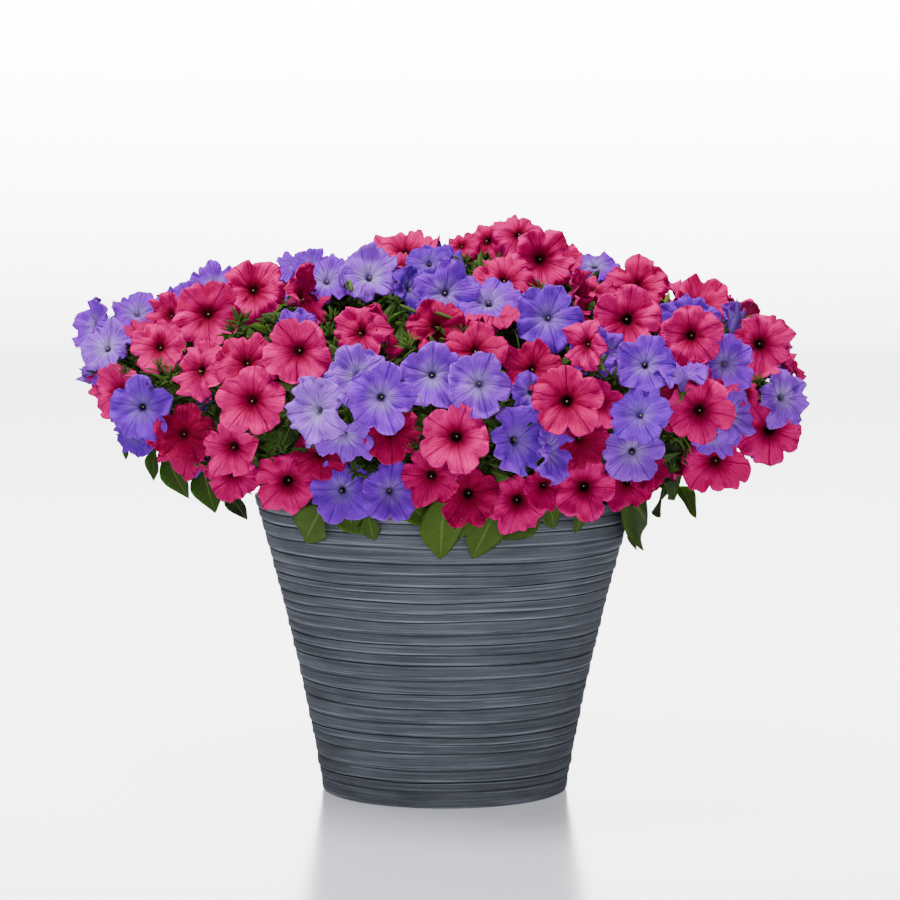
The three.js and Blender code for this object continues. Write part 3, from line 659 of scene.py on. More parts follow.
# %% Bloom shapes
ROUND_SHAPES = 7
POINTED_SHAPES = 6
KNOB_RADIUS = 0.03
bloom_shapes = bpy.data.collections.new("bloom_shapes")
for number in range(ROUND_SHAPES + POINTED_SHAPES):
    made = bloom_template(number, number >= ROUND_SHAPES)
    aside = 2.1 * number
    middle = Vector((0.02 * math.cos(aside), 0.02 * math.sin(aside), -0.3 + 0.05 * (number % 3)))
    add_knob(made, middle, KNOB_RADIUS, Vector((0, 0, FUNNEL[0][1])))
    points, faces, petals, back = made
    shape = mesh_object(f"bloom_{number:02d}", points, faces, petal=petals, back=back)
    bloom_shapes.objects.link(shape)
print("faces in a bloom:", len(shape.data.polygons))

# %% [markdown]
# ## Planting a spray
# A tree of geometry nodes plants one of the bloom shapes on each point of a spray, turned and
# scaled by values on that point. Then it ruffles the petals: each bloom reads its own slice of
# a noise, which grows towards the rim, and gravity pulls the lobes down a little. Doing this
# after the instances are real gives every bloom a shape of its own from thirteen templates.


# %% Tree: planted shapes
NAMED = "GeometryNodeInputNamedAttribute"
VALUES = {
    "turn": "FLOAT_VECTOR", "size": "FLOAT", "shape": "FLOAT", "petal": "FLOAT_VECTOR",
    "seed": "FLOAT", "curl": "FLOAT", "facing": "FLOAT_VECTOR",
}


def planting_tree(name, shape_it=None, **sockets):
    """Plants shapes on points, makes them real, and lets shape_it move the points."""
    tree, given = new_tree(name, Shapes="Collection", Finish="Material", **sockets)
    add = partial(add_node, tree)
    read = {k: add(NAMED, {"Name": k}, data_type=kind) for k, kind in VALUES.items()}
    children = {"Collection": given["Shapes"], "Separate Children": True, "Reset Children": True}
    shapes = add("GeometryNodeCollectionInfo", children)
    picked = {"Instance": shapes, "Pick Instance": True, "Instance Index": read["shape"]}
    placed = {"Points": given["Geometry"], "Rotation": read["turn"], "Scale": read["size"]}
    planted = add("GeometryNodeInstanceOnPoints", picked | placed)
    made = add("GeometryNodeRealizeInstances", {"Geometry": planted})
    if shape_it:
        made = shape_it(add, given, made, read)
    return end_tree(tree, given, made)


def ruffle(add, given, made, read):
    """Lifts and lowers the petals along the way that the bloom faces, most at the rim."""
    flat = add("VectorMath", {0: read["petal"], 1: (1, 1, 0)}, operation="MULTIPLY")
    share = add("VectorMath", {0: flat}, operation="LENGTH").outputs["Value"]
    square = add("Math", {0: share, 1: share}, operation="MULTIPLY")
    weight = add("Math", {0: square, 1: read["size"]}, operation="MULTIPLY")
    slice_of = {"Vector": flat, "W": read["seed"], "Scale": 2.1, "Detail": 2.0, "Roughness": 0.45}
    noise = add("TexNoise", slice_of, noise_dimensions="4D")
    wave = add("Math", {0: noise, 1: 0.5}, operation="SUBTRACT")
    high = add("Math", {0: wave, 1: given["Ruffle"]}, operation="MULTIPLY")
    lift = add("Math", {0: high, 1: read["curl"]}, operation="SUBTRACT")
    out = add("Math", {0: lift, 1: weight}, operation="MULTIPLY")
    along = add("VectorMath", {0: read["facing"], "Scale": out}, operation="SCALE")
    drop = add("Math", {0: weight, 1: given["Droop"]}, operation="MULTIPLY")
    down = add("VectorMath", {0: (0, 0, -1), "Scale": drop}, operation="SCALE")
    offset = add("VectorMath", {0: along, 1: down}, operation="ADD")
    return add("GeometryNodeSetPosition", {"Geometry": made, "Offset": offset})


bloom_tree = planting_tree("planted_blooms", ruffle, Ruffle="Float", Droop="Float")
sprig_tree = planting_tree("planted_sprigs")

# %% [markdown]
# ## Petal finish
# A petal is thin, matt and slightly velvety: rows of tiny domes on its skin scatter light, so
# it has a high roughness, hardly any gloss, and light passes into it. Its colour comes from the
# sap, which is densest along the veins and in the throat. Each bloom's tone deepens or lightens
# the colour, partly as the bloom's own colour and partly as painted shade and painted light. The
# material reads where each point lies on the petals, so veins follow the funnel however the bloom
# is turned.


# %% Parts of a finish
def new_material(name, **values):
    """A material, its tree and its shader's inputs, set to values such as Roughness=0.8."""
    material = bpy.data.materials.new(name)
    material.use_nodes = True
    shader = material.node_tree.nodes["Principled BSDF"].inputs
    for key, value in values.items():
        shader[key.replace("_", " ")].default_value = value
    return material, material.node_tree, shader


def lay_colours(tree, shader, base, layers):
    """Lays colours over the base, each as thick as its factor, and gives them to the shader."""
    colour = linear(base)
    for factor, shade in layers:
        mixed = add_node(tree, "Mix", {0: factor, 6: colour, 7: linear(shade)}, data_type="RGBA")
        colour = mixed.outputs[2]
    tree.links.new(colour, shader["Base Color"])


def emboss(tree, shader, height, strength, distance):
    """Raises fine relief, up to a distance in metres."""
    relief = {"Height": height, "Strength": strength, "Distance": distance}
    tree.links.new(add_node(tree, "Bump", relief).outputs[0], shader["Normal"])


print("finishes of the frame:", len(bpy.data.materials))

# %% Petal materials
STREAKS = 18.0  # per radian, so about 1 mm apart halfway out on a bloom 60 mm across


def petal_material(name, colours, throat, glow):
    """A petal's finish. throat says where its colour is full and where it ends, as shares of
    the radius, where the dark pit is full, and how strong the throat is, also in blooms of deep
    tone, which is partly painted shade."""
    material, tree, shader = new_material(
        name, Roughness=0.75, IOR=1.4, Specular_IOR_Level=0.15,
        Subsurface_Weight=0.2, Subsurface_Radius=glow, Subsurface_Scale=0.004,
    )
    add = partial(add_node, tree)
    petal = add("Attribute", attribute_name="petal").outputs["Vector"]
    values = [add("Attribute", attribute_name=key) for key in ("back", "tone", "seed")]
    part, tone, seed = [value.outputs["Fac"] for value in values]
    flat = add("VectorMath", {0: petal, 1: (1, 1, 0)}, operation="MULTIPLY")
    share = add("VectorMath", {0: flat}, operation="LENGTH").outputs["Value"]
    way = add("VectorMath", {0: flat}, operation="NORMALIZE")
    spread = add("VectorMath", {0: way, "Scale": STREAKS}, operation="SCALE")
    near = add("VectorMath", {0: flat, "Scale": 1.3}, operation="SCALE")
    streaked = add("VectorMath", {0: spread, 1: near}, operation="ADD")
    fine = {"Vector": streaked, "W": seed, "Scale": 1.0, "Detail": 2.5, "Roughness": 0.6}
    streaks = add("TexNoise", fine, noise_dimensions="4D")
    veins = add("MapRange", {"Value": streaks, "From Min": 0.5, "From Max": 0.66})
    fade = add("MapRange", {"Value": share, "From Min": 1.0, "From Max": 0.3})
    vein = add("Math", {0: veins, 1: fade}, operation="MULTIPLY")
    # The five midribs, one along each lobe.
    split = add("SeparateXYZ", {0: flat}).outputs
    turn = add("Math", {0: split["Y"], 1: split["X"]}, operation="ARCTAN2")
    lobes = add("Math", {0: turn, 1: 5.0}, operation="MULTIPLY")
    ridge = add("Math", {0: lobes}, operation="COSINE")
    rib = add("MapRange", {"Value": ridge, "From Min": 0.99, "From Max": 0.9998})
    # Throat: its edge is drawn out along the streaks.
    ragged = add("Math", {0: streaks, 1: 0.22, 2: share}, operation="MULTIPLY_ADD")
    reach = {"From Min": throat["end"], "From Max": throat["full"], "To Max": throat["strength"]}
    well = add("MapRange", {"Value": ragged} | reach, interpolation_type="SMOOTHERSTEP")
    reach = {"From Min": throat["pit"] + 0.16, "From Max": throat["pit"]}
    pit = add("MapRange", {"Value": ragged} | reach, interpolation_type="SMOOTHERSTEP")
    # Some throats are dark to the edge and others only tinged.
    luck = add("Math", {0: seed}, operation="FRACT")
    strength = add("MapRange", {"Value": luck, "From Max": 0.7, "To Min": 0.45})
    pit = add("Math", {0: pit, 1: strength}, operation="MULTIPLY")
    # The throat can be weaker in blooms of deep tone, which is partly painted shade.
    star = {"Value": tone, "From Min": -0.6, "From Max": 0.5, "To Min": throat["in_deep_blooms"]}
    well = add("Math", {0: well, 1: add("MapRange", star)}, operation="MULTIPLY")
    # The bloom's tone towards deep and towards light: partly its own colour, partly painted shade and
    # painted light.
    deep = add("MapRange", {"Value": tone, "From Min": 0, "From Max": -1})
    light = add("MapRange", {"Value": tone, "From Min": 0, "From Max": 1})
    cloudy = {"Vector": flat, "W": seed, "Scale": 2.2, "Detail": 2.0}
    blotch = add("TexNoise", cloudy, noise_dimensions="4D")
    blotched = add("MapRange", {"Value": blotch, "From Min": 0.35, "From Max": 0.75, "To Max": 0.35})
    back = add("Math", {0: part, 1: 0.5}, operation="GREATER_THAN")
    knob = add("Math", {0: part, 1: 1.5}, operation="GREATER_THAN")
    edge = add("MapRange", {"Value": share, "From Min": 0.95, "From Max": 1.0, "To Max": 0.35})
    ribs = add("Math", {0: rib, 1: 0.35}, operation="MULTIPLY")
    veined = add("Math", {0: vein, 1: 0.75}, operation="MULTIPLY")
    layers = [
        (deep, "deep"), (light, "light"), (blotched, "blotch"), (edge, "light"), (well, "well"),
        (veined, "vein"), (ribs, "vein"), (pit, "pit"), (back, "back"), (knob, "knob"),
    ]
    lay_colours(tree, shader, colours["base"], [(factor, colours[key]) for factor, key in layers])
    high = add("Math", {0: rib, 1: -0.6, 2: streaks}, operation="MULTIPLY_ADD")
    emboss(tree, shader, high, 1.0, 0.0035)
    return material


print("streaks round a bloom:", round(2 * math.pi * STREAKS))

# %% Petal colours
# deep and light are the ends of a bloom's tone: partly its own colour, partly painted shade and painted
# light.
PINK_PETAL = dict(
    base="#E80078", deep="#84002E", light="#FF0C8C", blotch="#C00058", well="#92002E",
    vein="#780030", pit="#2A000F", back="#C03078", knob="#8A9458",
)
VIOLET_PETAL = dict(
    base="#9024E8", deep="#6612CC", light="#B46AFF", blotch="#7414CC", well="#D4BCFF",
    vein="#56189C", pit="#1E1230", back="#8450BE", knob="#98A070",
)
PINK_THROAT = dict(full=0.22, end=0.78, pit=0.2, strength=0.95, in_deep_blooms=1.0)
VIOLET_THROAT = dict(full=0.1, end=0.78, pit=0.14, strength=0.9, in_deep_blooms=0.4)
petal_finish = {
    "pink": petal_material("pink_petal", PINK_PETAL, PINK_THROAT, (1.0, 0.1, 0.2)),
    "violet": petal_material("violet_petal", VIOLET_PETAL, VIOLET_THROAT, (0.5, 0.2, 1.0)),
}
print("petal nodes:", len(petal_finish["pink"].node_tree.nodes))

# %% [markdown]
# ## The sprays
# On the plant, a few blooms open together at the end of each shoot. Each spray becomes one
# piece that stands for its node of the frame. The petals of one spray could be objects of their
# own, but one mesh is easier to carry, and the points' values still set each bloom apart.


# %% Plant the sprays
def turn_to(x, y, z):
    """The turn that lays the axes along three directions."""
    return tuple(Matrix((x, y, z)).transposed().to_euler())


def turn_of(bloom):
    """A bloom faces along its Z axis, and its X axis is turned by its roll."""
    facing = Vector(bloom["facing"])
    side = Vector(UP).cross(facing).normalized()
    side = Matrix.Rotation(math.radians(bloom["roll"]), 3, facing) @ side
    return turn_to(side, facing.cross(side), facing)


rng = np.random.default_rng(SEED)
NODDING_HEIGHT = 0.43
for bloom in [bloom for spray in named_sprays.values() for bloom in spray]:
    pointed = bloom["plant"] == "violet"
    every_shape = (ROUND_SHAPES, ROUND_SHAPES + POINTED_SHAPES) if pointed else (ROUND_SHAPES,)
    bloom["shape"] = rng.integers(*every_shape)
    bloom["seed"] = rng.uniform(0, 50)
    nodding = bloom["face"][1] > 0 and bloom["face"][2] > NODDING_HEIGHT
    bloom["curl"] = 0.4 if nodding else rng.uniform(-0.1, 0.16)
    bloom["turn"] = turn_of(bloom)
    bloom["size"] = bloom["radius"]


def points_of(things, place, keys):
    """A mesh of single points, one for each thing, which carry its values."""
    values = {key: [thing[key] for thing in things] for key in keys.split()}
    return mesh_object("places", [thing[place] for thing in things], **values)


RUFFLE = 2.1
DROOP = 0.05
total = 0
for name, spray in named_sprays.items():
    plant = spray[0]["plant"]
    source = points_of(spray, "face", "turn size shape seed curl facing tone")
    look = dict(shapes=bloom_shapes, finish=petal_finish[plant], ruffle=RUFFLE, droop=DROOP)
    if name.startswith("petunia"):
        piece = grown(name + "_blooms", source, bloom_tree, **look)
        total += finish_piece(piece, plant + "_petal", name)
    else:
        total += finish_piece(grown(name, source, bloom_tree, **look), plant + "_petal")
print("triangles in the blooms:", total)

# %% [markdown]
# ## The pot
# The real pot is rotationally moulded resin: one shell, with uneven hoops that overhang each
# other like turned or coiled clay. Its shape follows a rule, an outline turned about an axis,
# so a tree wraps a grid round the axis. The hoops of such a pot aren't quite level, so a noise
# lets them wander. A second tree drills the four drain holes through the floor.

# %% Outline of the pot
POT_HEIGHT = 250
FOOT_RADIUS = 102
RIM_RADIUS = 160
WALL = 5
FLOOR = 6
LEVEL_ENDS = 30  # mm from the foot and the rim within which the hoops come level
HOOPS = [
    15, 7, 10.5, 14.5, 7.5, 6, 11.5, 13, 7, 5, 11.5, 13, 9, 8.5, 8.5, 11, 7, 9, 8, 5, 10, 9.5,
    13, 11.5, 9, 9.5,
]
# A hoop's section: share of its height, how far it stands out in mm, and how pale its skin is:
# rubbed paint and a painted highlight on the crests, painted shade in the grooves.
HOOP_SECTION = [
    (0.0, -1.4, 0.0), (0.05, -0.6, 0.2), (0.11, 0.5, 0.9), (0.2, 0.9, 1.0), (0.38, 0.75, 0.45),
    (0.6, 0.45, 0.3), (0.78, 0.2, 0.4), (0.9, 0.0, 0.9), (0.96, -0.8, 0.15),
]
# Depths of the grooves as shares, dealt out in turn, and less for hoops under SLIM mm.
GROOVE_DEPTHS = (1.0, 0.55, 0.85, 0.4, 1.15, 0.7)
SLIM = 9
# Radius, height, rub and painted light, and freedom to wander, round the foot and over the rim.
FOOT = [(0, 0.6, 0.2, 0), (60, 0.6, 0.2, 0), (94, 0.6, 0.2, 0), (97, 0, 0.2, 0), (100, 0.4, 0.1, 0)]
RIM = [(159.5, 250, 0.6, 0), (155.5, 250, 0.6, 0), (154.4, 248.5, 0.3, 0)]


def pot_radius(z):
    """The pot flares towards the rim."""
    t = z / POT_HEIGHT
    return FOOT_RADIUS + (RIM_RADIUS - FOOT_RADIUS) * (0.73 * t + 0.27 * t * t)


def pot_outline():
    """Radius, height, rub and painted light, and freedom to wander, from the foot's middle and back."""
    outline = list(FOOT)
    z = 0
    for i, hoop in enumerate(HOOPS):
        free = min(1, z / LEVEL_ENDS, (POT_HEIGHT - z) / LEVEL_ENDS)
        depth = GROOVE_DEPTHS[i * 5 % 6] * min(1, hoop / SLIM)
        for share, out, rubbed in HOOP_SECTION:
            at = z + share * hoop
            if at > 1:
                # A shallow groove gets less painted shade.
                rubbed = max(rubbed, 0.3 * (1 - depth))
                outline.append((pot_radius(at) + out * depth, at, rubbed, free))
        z += hoop
    inside = [(pot_radius(z) - WALL, z, 0.2, 0) for z in (240, 200, 160, 120, 80, 40, 16)]
    floor = [(98, FLOOR + 2, 0.2, 0), (92, FLOOR, 0.2, 0), (0, FLOOR, 0.2, 0)]
    return outline + RIM + inside + floor


outline = np.array(pot_outline())
print("points in the pot's outline:", len(outline))


# %% Tree: an outline turned about the axis
def turning_tree():
    sockets = dict(Sides="Int", Wander="Float", Unevenness="Float", Finish="Material")
    tree, given = new_tree("turned", **sockets)
    add = partial(add_node, tree)
    count = add("GeometryNodeAttributeDomainSize", {"Geometry": given["Geometry"]})
    count = count.outputs["Point Count"]
    across = add("Math", {0: given["Sides"], 1: 1}, operation="ADD")
    size = {"Size X": 1, "Size Y": 1, "Vertices X": across, "Vertices Y": count}
    grid = add("GeometryNodeMeshGrid", size)
    # Each point of the grid finds the row of the outline that it belongs to, and its turn.
    here = add("GeometryNodeInputPosition")
    split = add("SeparateXYZ", {0: here}).outputs
    steps = add("Math", {0: count, 1: 1}, operation="SUBTRACT")
    low = add("Math", {0: split["Y"], 1: 0.5}, operation="ADD")
    row = add("Math", {0: low, 1: steps}, operation="MULTIPLY")
    row = add("Math", {0: row}, operation="ROUND")
    turn = add("Math", {0: split["X"], 1: 2 * math.pi}, operation="MULTIPLY")
    cosine = add("Math", {0: turn}, operation="COSINE")
    sine = add("Math", {0: turn}, operation="SINE")

    def sampled(field, kind):
        """A value of the outline, at the row of each point of the grid."""
        at_row = {"Geometry": given["Geometry"], "Value": field, "Index": row}
        return add("GeometryNodeSampleIndex", at_row, data_type=kind)

    rubbed = sampled(add(NAMED, {"Name": "rubbed"}, data_type="FLOAT"), "FLOAT")
    free = sampled(add(NAMED, {"Name": "free"}, data_type="FLOAT"), "FLOAT")
    flat = add("SeparateXYZ", {0: sampled(here, "FLOAT_VECTOR")}).outputs
    # The hoops wander up and down.
    level = add("Math", {0: flat["Z"], 1: 28}, operation="MULTIPLY")
    circle = add("CombineXYZ", {"X": cosine, "Y": sine, "Z": level})
    noise = add("TexNoise", {"Vector": circle, "Scale": 1.1, "Detail": 1.0})
    swing = add("Math", {0: noise, 1: 0.5}, operation="SUBTRACT")
    reach = add("Math", {0: swing, 1: given["Wander"]}, operation="MULTIPLY")
    rise = add("Math", {0: reach, 1: free, 2: flat["Z"]}, operation="MULTIPLY_ADD")
    around_axis = add("CombineXYZ", {"X": cosine, "Y": sine})
    out = add("VectorMath", {0: around_axis, "Scale": flat["X"]}, operation="SCALE")
    up = add("CombineXYZ", {"Z": rise})
    point = add("VectorMath", {0: out, 1: up}, operation="ADD")
    # A leafy heart bulges unevenly, and a moulded pot doesn't.
    rough = add("TexNoise", {"Vector": point, "Scale": 28.0, "Detail": 2.0})
    bulge = add("Math", {0: rough, 1: 0.5}, operation="SUBTRACT")
    bulge = add("Math", {0: bulge, 1: given["Unevenness"]}, operation="MULTIPLY")
    bulge = add("VectorMath", {0: point, "Scale": bulge}, operation="SCALE")
    point = add("VectorMath", {0: point, 1: bulge}, operation="ADD")
    # The finish is kept before the grid is wrapped, while a point's place still tells its row.
    kept = {"Geometry": grid, "Name": "rubbed", "Value": rubbed}
    stored = add("GeometryNodeStoreNamedAttribute", kept, data_type="FLOAT", domain="POINT")
    wrapped = add("GeometryNodeSetPosition", {"Geometry": stored, "Position": point})
    closed_up = add("GeometryNodeMergeByDistance", {"Geometry": wrapped, "Distance": 1e-5})
    return end_tree(tree, given, closed_up)


turned_tree = turning_tree()


def outline_object(points):
    """An outline of radius and height in mm, with its finish, as an object in metres."""
    places = [(r * MM, 0, z * MM) for r, z, *_ in points]
    return mesh_object("outline", places, rubbed=points[:, 2], free=points[:, 3])


# %% [markdown]
# ## Drain holes
# Water drains through four holes in a ring near the middle of the floor, drilled after the
# shell is moulded. A boolean cuts them the same way: round drills, set out on the ring, are
# taken away from the shell.


# %% Tree: drain holes
def drain_tree():
    sockets = dict(Holes="Int", Ring="Float", Bore="Float", Finish="Material")
    tree, given = new_tree("drained", **sockets)
    add = partial(add_node, tree)
    ring = add("GeometryNodeMeshCircle", {"Vertices": given["Holes"], "Radius": given["Ring"]})
    between = add("GeometryNodeTransform", {"Geometry": ring, "Rotation": (0, 0, math.pi / 4)})
    size = {"Vertices": 24, "Radius": given["Bore"], "Depth": 0.04}
    drill = add("GeometryNodeMeshCylinder", size)
    drills = add("GeometryNodeInstanceOnPoints", {"Points": between, "Instance": drill})
    drills = add("GeometryNodeRealizeInstances", {0: drills})
    cut = {"Mesh 1": given["Geometry"], "Mesh 2": drills}
    drilled = add("GeometryNodeMeshBoolean", cut, operation="DIFFERENCE")
    return end_tree(tree, given, drilled, smooth=False)


drained_tree = drain_tree()

# %% [markdown]
# ## The pot's finish
# Slate-coloured resin with a hand-rubbed look: the paint is thin on the crests and drawn out in
# fine level streaks, as a sponge leaves it when the pot is turned. The pale along the crests is
# partly that paint and partly a painted highlight, and the dark in the grooves is partly paint and
# partly painted shade. The colour reads both from a value on each point, and a noise drawn out
# round the pot.


# %% Pot material
def pot_material():
    material, tree, shader = new_material("slate_resin_rub_and_painted_light", Specular_IOR_Level=0.08)
    add = partial(add_node, tree)
    place = add("TexCoord").outputs["Object"]
    split = add("SeparateXYZ", {0: place}).outputs
    turn = add("Math", {0: split["Y"], 1: split["X"]}, operation="ARCTAN2")
    cosine = add("Math", {0: turn}, operation="COSINE")
    sine = add("Math", {0: turn}, operation="SINE")
    circle = add("CombineXYZ", {"X": cosine, "Y": sine})

    def level_noise(lines_per_metre, turns, detail):
        """A noise drawn out level round the pot, in lines of an even height."""
        level = add("Math", {0: split["Z"], 1: lines_per_metre}, operation="MULTIPLY")
        wide = add("VectorMath", {0: circle, "Scale": turns}, operation="SCALE")
        high = add("CombineXYZ", {"Z": level})
        spot = add("VectorMath", {0: wide, 1: high}, operation="ADD")
        return add("TexNoise", {"Vector": spot, "Scale": 1.0, "Detail": detail, "Roughness": 0.6})

    streaks = level_noise(900, 1.7, 4.0)
    hairlines = level_noise(1300, 0.9, 1.5)
    cloud = add("TexNoise", {"Vector": place, "Scale": 22.0, "Detail": 3.0})
    rubbed = add("Attribute", attribute_name="rubbed").outputs["Fac"]
    worn = add("MapRange", {"Value": streaks, "From Min": 0.42, "From Max": 0.7})
    # Pale: partly rubbed paint and partly a painted highlight along the crests of the hoops.
    pale = add("Math", {0: worn, 1: rubbed}, operation="MULTIPLY")
    clouded = add("MapRange", {"Value": cloud, "From Min": 0.3, "From Max": 0.75})
    thin = {"Value": hairlines, "From Min": 0.4, "From Max": 0.3, "To Max": 0.7}
    scratch = add("MapRange", thin)
    # Dark in the grooves: partly paint and partly painted shade.
    groove = add("MapRange", {"Value": rubbed, "From Min": 0.3, "From Max": 0.0})
    layers = [(clouded, "#55595F"), (pale, "#8C939B"), (scratch, "#2E333A"), (groove, "#1E2126")]
    lay_colours(tree, shader, "#42464D", layers)
    rough = add("MapRange", {"Value": streaks, "To Min": 0.5, "To Max": 0.68})
    tree.links.new(rough.outputs[0], shader["Roughness"])
    emboss(tree, shader, streaks, 0.5, 0.0006)
    return material


pot_finish = pot_material()
turned = dict(sides=180, wander=0.005, unevenness=0.0, finish=pot_finish)
pot = grown("pot_undrilled", outline_object(outline), turned_tree, **turned)
pot = grown("pot_shell", pot, drained_tree, holes=4, ring=0.062, bore=0.006, finish=pot_finish)
print("pot triangles:", finish_piece(pot, "pot", "pot"))

# %% [markdown]
# ## The potting mix
# Peat and fine bark with a few white grains of perlite fill the pot to a little under its rim.
# Only its flat top and its packed side matter, and the frame's solid has both, so the solid
# stays and gets the mix's colours and grain.


# %% Potting mix material
def mix_material():
    material, tree, shader = new_material("peat_and_bark_mix", Roughness=0.95)
    add = partial(add_node, tree)
    place = add("TexCoord").outputs["Object"]
    # Crumbs of peat are about 4 mm across, and grains of perlite 2 to 3 mm.
    crumbs = add("TexNoise", {"Vector": place, "Scale": 250.0, "Detail": 3.0})
    grains = add("TexVoronoi", {"Vector": place, "Scale": 120.0})
    lit = add("MapRange", {"Value": crumbs, "From Min": 0.35, "From Max": 0.7})
    white = add("MapRange", {"Value": grains, "From Min": 0.16, "From Max": 0.13})
    lay_colours(tree, shader, "#241812", [(lit, "#4A3426"), (white, "#D8D4CC")])
    emboss(tree, shader, crumbs, 1.0, 0.002)
    return material


mix = mix_material()
fill = bpy.data.objects["potting_mix"].material_slots
for slot in fill:
    slot.material = mix
print("potting mix finishes:", [slot.material.name for slot in fill])

# %% [markdown]
# ## Leaves
# Petunia leaves are soft, oval and pointed, 25 to 50 mm long, folded a little along the midrib
# and covered with fine hairs, which is why they look matt. A leaf is a thin closed body here,
# and its points keep their place along and across it, so that the veins follow it. The tip of
# a shoot is a tuft of narrow young leaves round a short stem.


# %% Leaf shapes
def leaf_body(rows, columns, width, fold, arch, wave, thick):
    """A pointed oval leaf of length 1 along X, facing Z. Both skins meet at its edge."""
    points, places = [], []
    for side in (1, -1):
        for i in range(rows + 1):
            t = i / rows
            half = 0.5 * width * math.sin(math.pi * t**0.8) ** 0.85 + 0.012 * (1 - t)
            for j in range(-columns, columns + 1):
                s = j / columns
                lift = fold * abs(s) * half - arch * t * t + wave * math.sin(5 * t + s) * s * s * half
                depth = thick * (1 - s * s) * math.sin(math.pi * t) * side
                points.append((t, s * half, lift + depth))
                places.append((t, s, side))
    across = 2 * columns + 1
    under = (rows + 1) * across
    faces = []
    for i in range(rows):
        for j in range(2 * columns):
            a = i * across + j
            faces.append((a, a + across, a + across + 1, a + 1))
            faces.append((under + a, under + a + 1, under + a + across + 1, under + a + across))
    return points, faces, places


def closed(name, body):
    """An object from a leaf body whose two skins are joined at their shared edges."""
    points, faces, places = body
    made = mesh_object(name, points, faces, leaf=places)
    skin = bmesh.new()
    skin.from_mesh(made.data)
    bmesh.ops.remove_doubles(skin, verts=skin.verts, dist=1e-4)
    bmesh.ops.dissolve_degenerate(skin, edges=skin.edges, dist=1e-5)
    skin.to_mesh(made.data)
    skin.free()
    return made


def shape_set(name, bodies):
    """A collection of shapes to plant, one for each body."""
    shapes = bpy.data.collections.new(name)
    for number, body in enumerate(bodies):
        shapes.objects.link(closed(f"{name}_{number}", body))
    return shapes


# Width, fold and arch of each leaf, as shares of its length.
SMALL = ((0.42, 0.25, 0.12), (0.3, 0.4, 0.2), (0.5, 0.15, 0.05))
BIG = ((0.58, 0.2, 0.1), (0.5, 0.3, 0.16), (0.64, 0.12, 0.04))
small_leaves = shape_set("small_leaves", [leaf_body(7, 1, *form, 0.25, 0.012) for form in SMALL])
big_leaves = shape_set("big_leaves", [leaf_body(14, 4, *form, 0.35, 0.01) for form in BIG])

# %% Tuft shapes
TUFT_LEAVES = 11
TUFT_SHAPES = 4


def tuft_body(number):
    """The tip of a shoot: narrow leaves round a short stem, the youngest at the top."""
    rng = np.random.default_rng(SEED + number)
    points, faces, places = [], [], []
    for k in range(TUFT_LEAVES):
        old = 1 - k / TUFT_LEAVES
        turn = k * GOLDEN_ANGLE + rng.uniform(-0.3, 0.3)
        out = around(1, turn, 0)
        along = Vector(unit(out * (0.25 + 0.75 * old) + np.array([0, 0, rng.uniform(0.5, 0.8)])))
        side = Vector((0, 0, 1)).cross(along).normalized()
        top = along.cross(side)
        length = (0.35 + 0.4 * old) * rng.uniform(0.85, 1.15)
        base = Vector((0, 0, 0.3 * (1 - old)))
        leaf = leaf_body(3, 1, 0.2, 0.3, 0.2, 0.1, 0.02)
        faces += [tuple(v + len(points) for v in face) for face in leaf[1]]
        points += [base + (along * t + side * s + top * h) * length for t, s, h in leaf[0]]
        places += leaf[2]
    return points, faces, places


tufts = shape_set("tufts", [tuft_body(number) for number in range(TUFT_SHAPES)])

# %% [markdown]
# ## Leaf finish
# A living leaf is matt and downy, a little light passes through it, and it is paler along its
# veins and on its underside. Young leaves are lighter and yellower, and hardly any light gets
# to the leaves deep in the mound, so each leaf's tone moves its colour between the two.


# %% Leaf material
def leaf_material():
    material, tree, shader = new_material(
        "downy_leaf", Roughness=0.78, Specular_IOR_Level=0.15,
        Subsurface_Weight=0.12, Subsurface_Radius=(0.3, 1.0, 0.1), Subsurface_Scale=0.002,
    )
    add = partial(add_node, tree)
    leaf = add("Attribute", attribute_name="leaf").outputs["Vector"]
    tone = add("Attribute", attribute_name="tone").outputs["Fac"]
    place = add("TexCoord").outputs["Object"]
    split = add("SeparateXYZ", {0: leaf}).outputs
    across = add("Math", {0: split["Y"]}, operation="ABSOLUTE")
    midrib = add("MapRange", {"Value": across, "From Min": 0.09, "From Max": 0.03})
    # Side veins leave the midrib at a slant, about nine on each side.
    slant = add("Math", {0: across, 1: -0.16, 2: split["X"]}, operation="MULTIPLY_ADD")
    wave = add("Math", {0: slant, 1: 57.0}, operation="MULTIPLY")
    wave = add("Math", {0: wave}, operation="SINE")
    side = add("MapRange", {"Value": wave, "From Min": 0.9, "From Max": 1.0, "To Max": 0.3})
    vein = add("Math", {0: midrib, 1: side}, operation="MAXIMUM")
    mottle = add("TexNoise", {"Vector": place, "Scale": 90.0, "Detail": 3.0})
    young = add("MapRange", {"Value": tone, "From Min": 0, "From Max": 1})
    # The dark end of the tone is painted shade, for leaves deep in the mound.
    old = add("MapRange", {"Value": tone, "From Min": 0, "From Max": -1})
    under = add("Math", {0: split["Z"], 1: 0.0}, operation="LESS_THAN")
    mottled = add("MapRange", {"Value": mottle, "From Min": 0.35, "From Max": 0.75, "To Max": 0.5})
    veined = add("Math", {0: vein, 1: 0.35}, operation="MULTIPLY")
    below = add("Math", {0: under, 1: 0.6}, operation="MULTIPLY")
    layers = [
        (young, "#66822C"), (old, "#0E1205"), (mottled, "#2A4210"), (veined, "#768C42"),
        (below, "#485E2C"),
    ]
    lay_colours(tree, shader, "#384F16", layers)
    raised = add("Math", {0: vein, 1: -0.7, 2: mottle}, operation="MULTIPLY_ADD")
    emboss(tree, shader, raised, 0.6, 0.0008)
    return material


leaf_finish = leaf_material()
print("leaf nodes:", len(leaf_finish.node_tree.nodes))
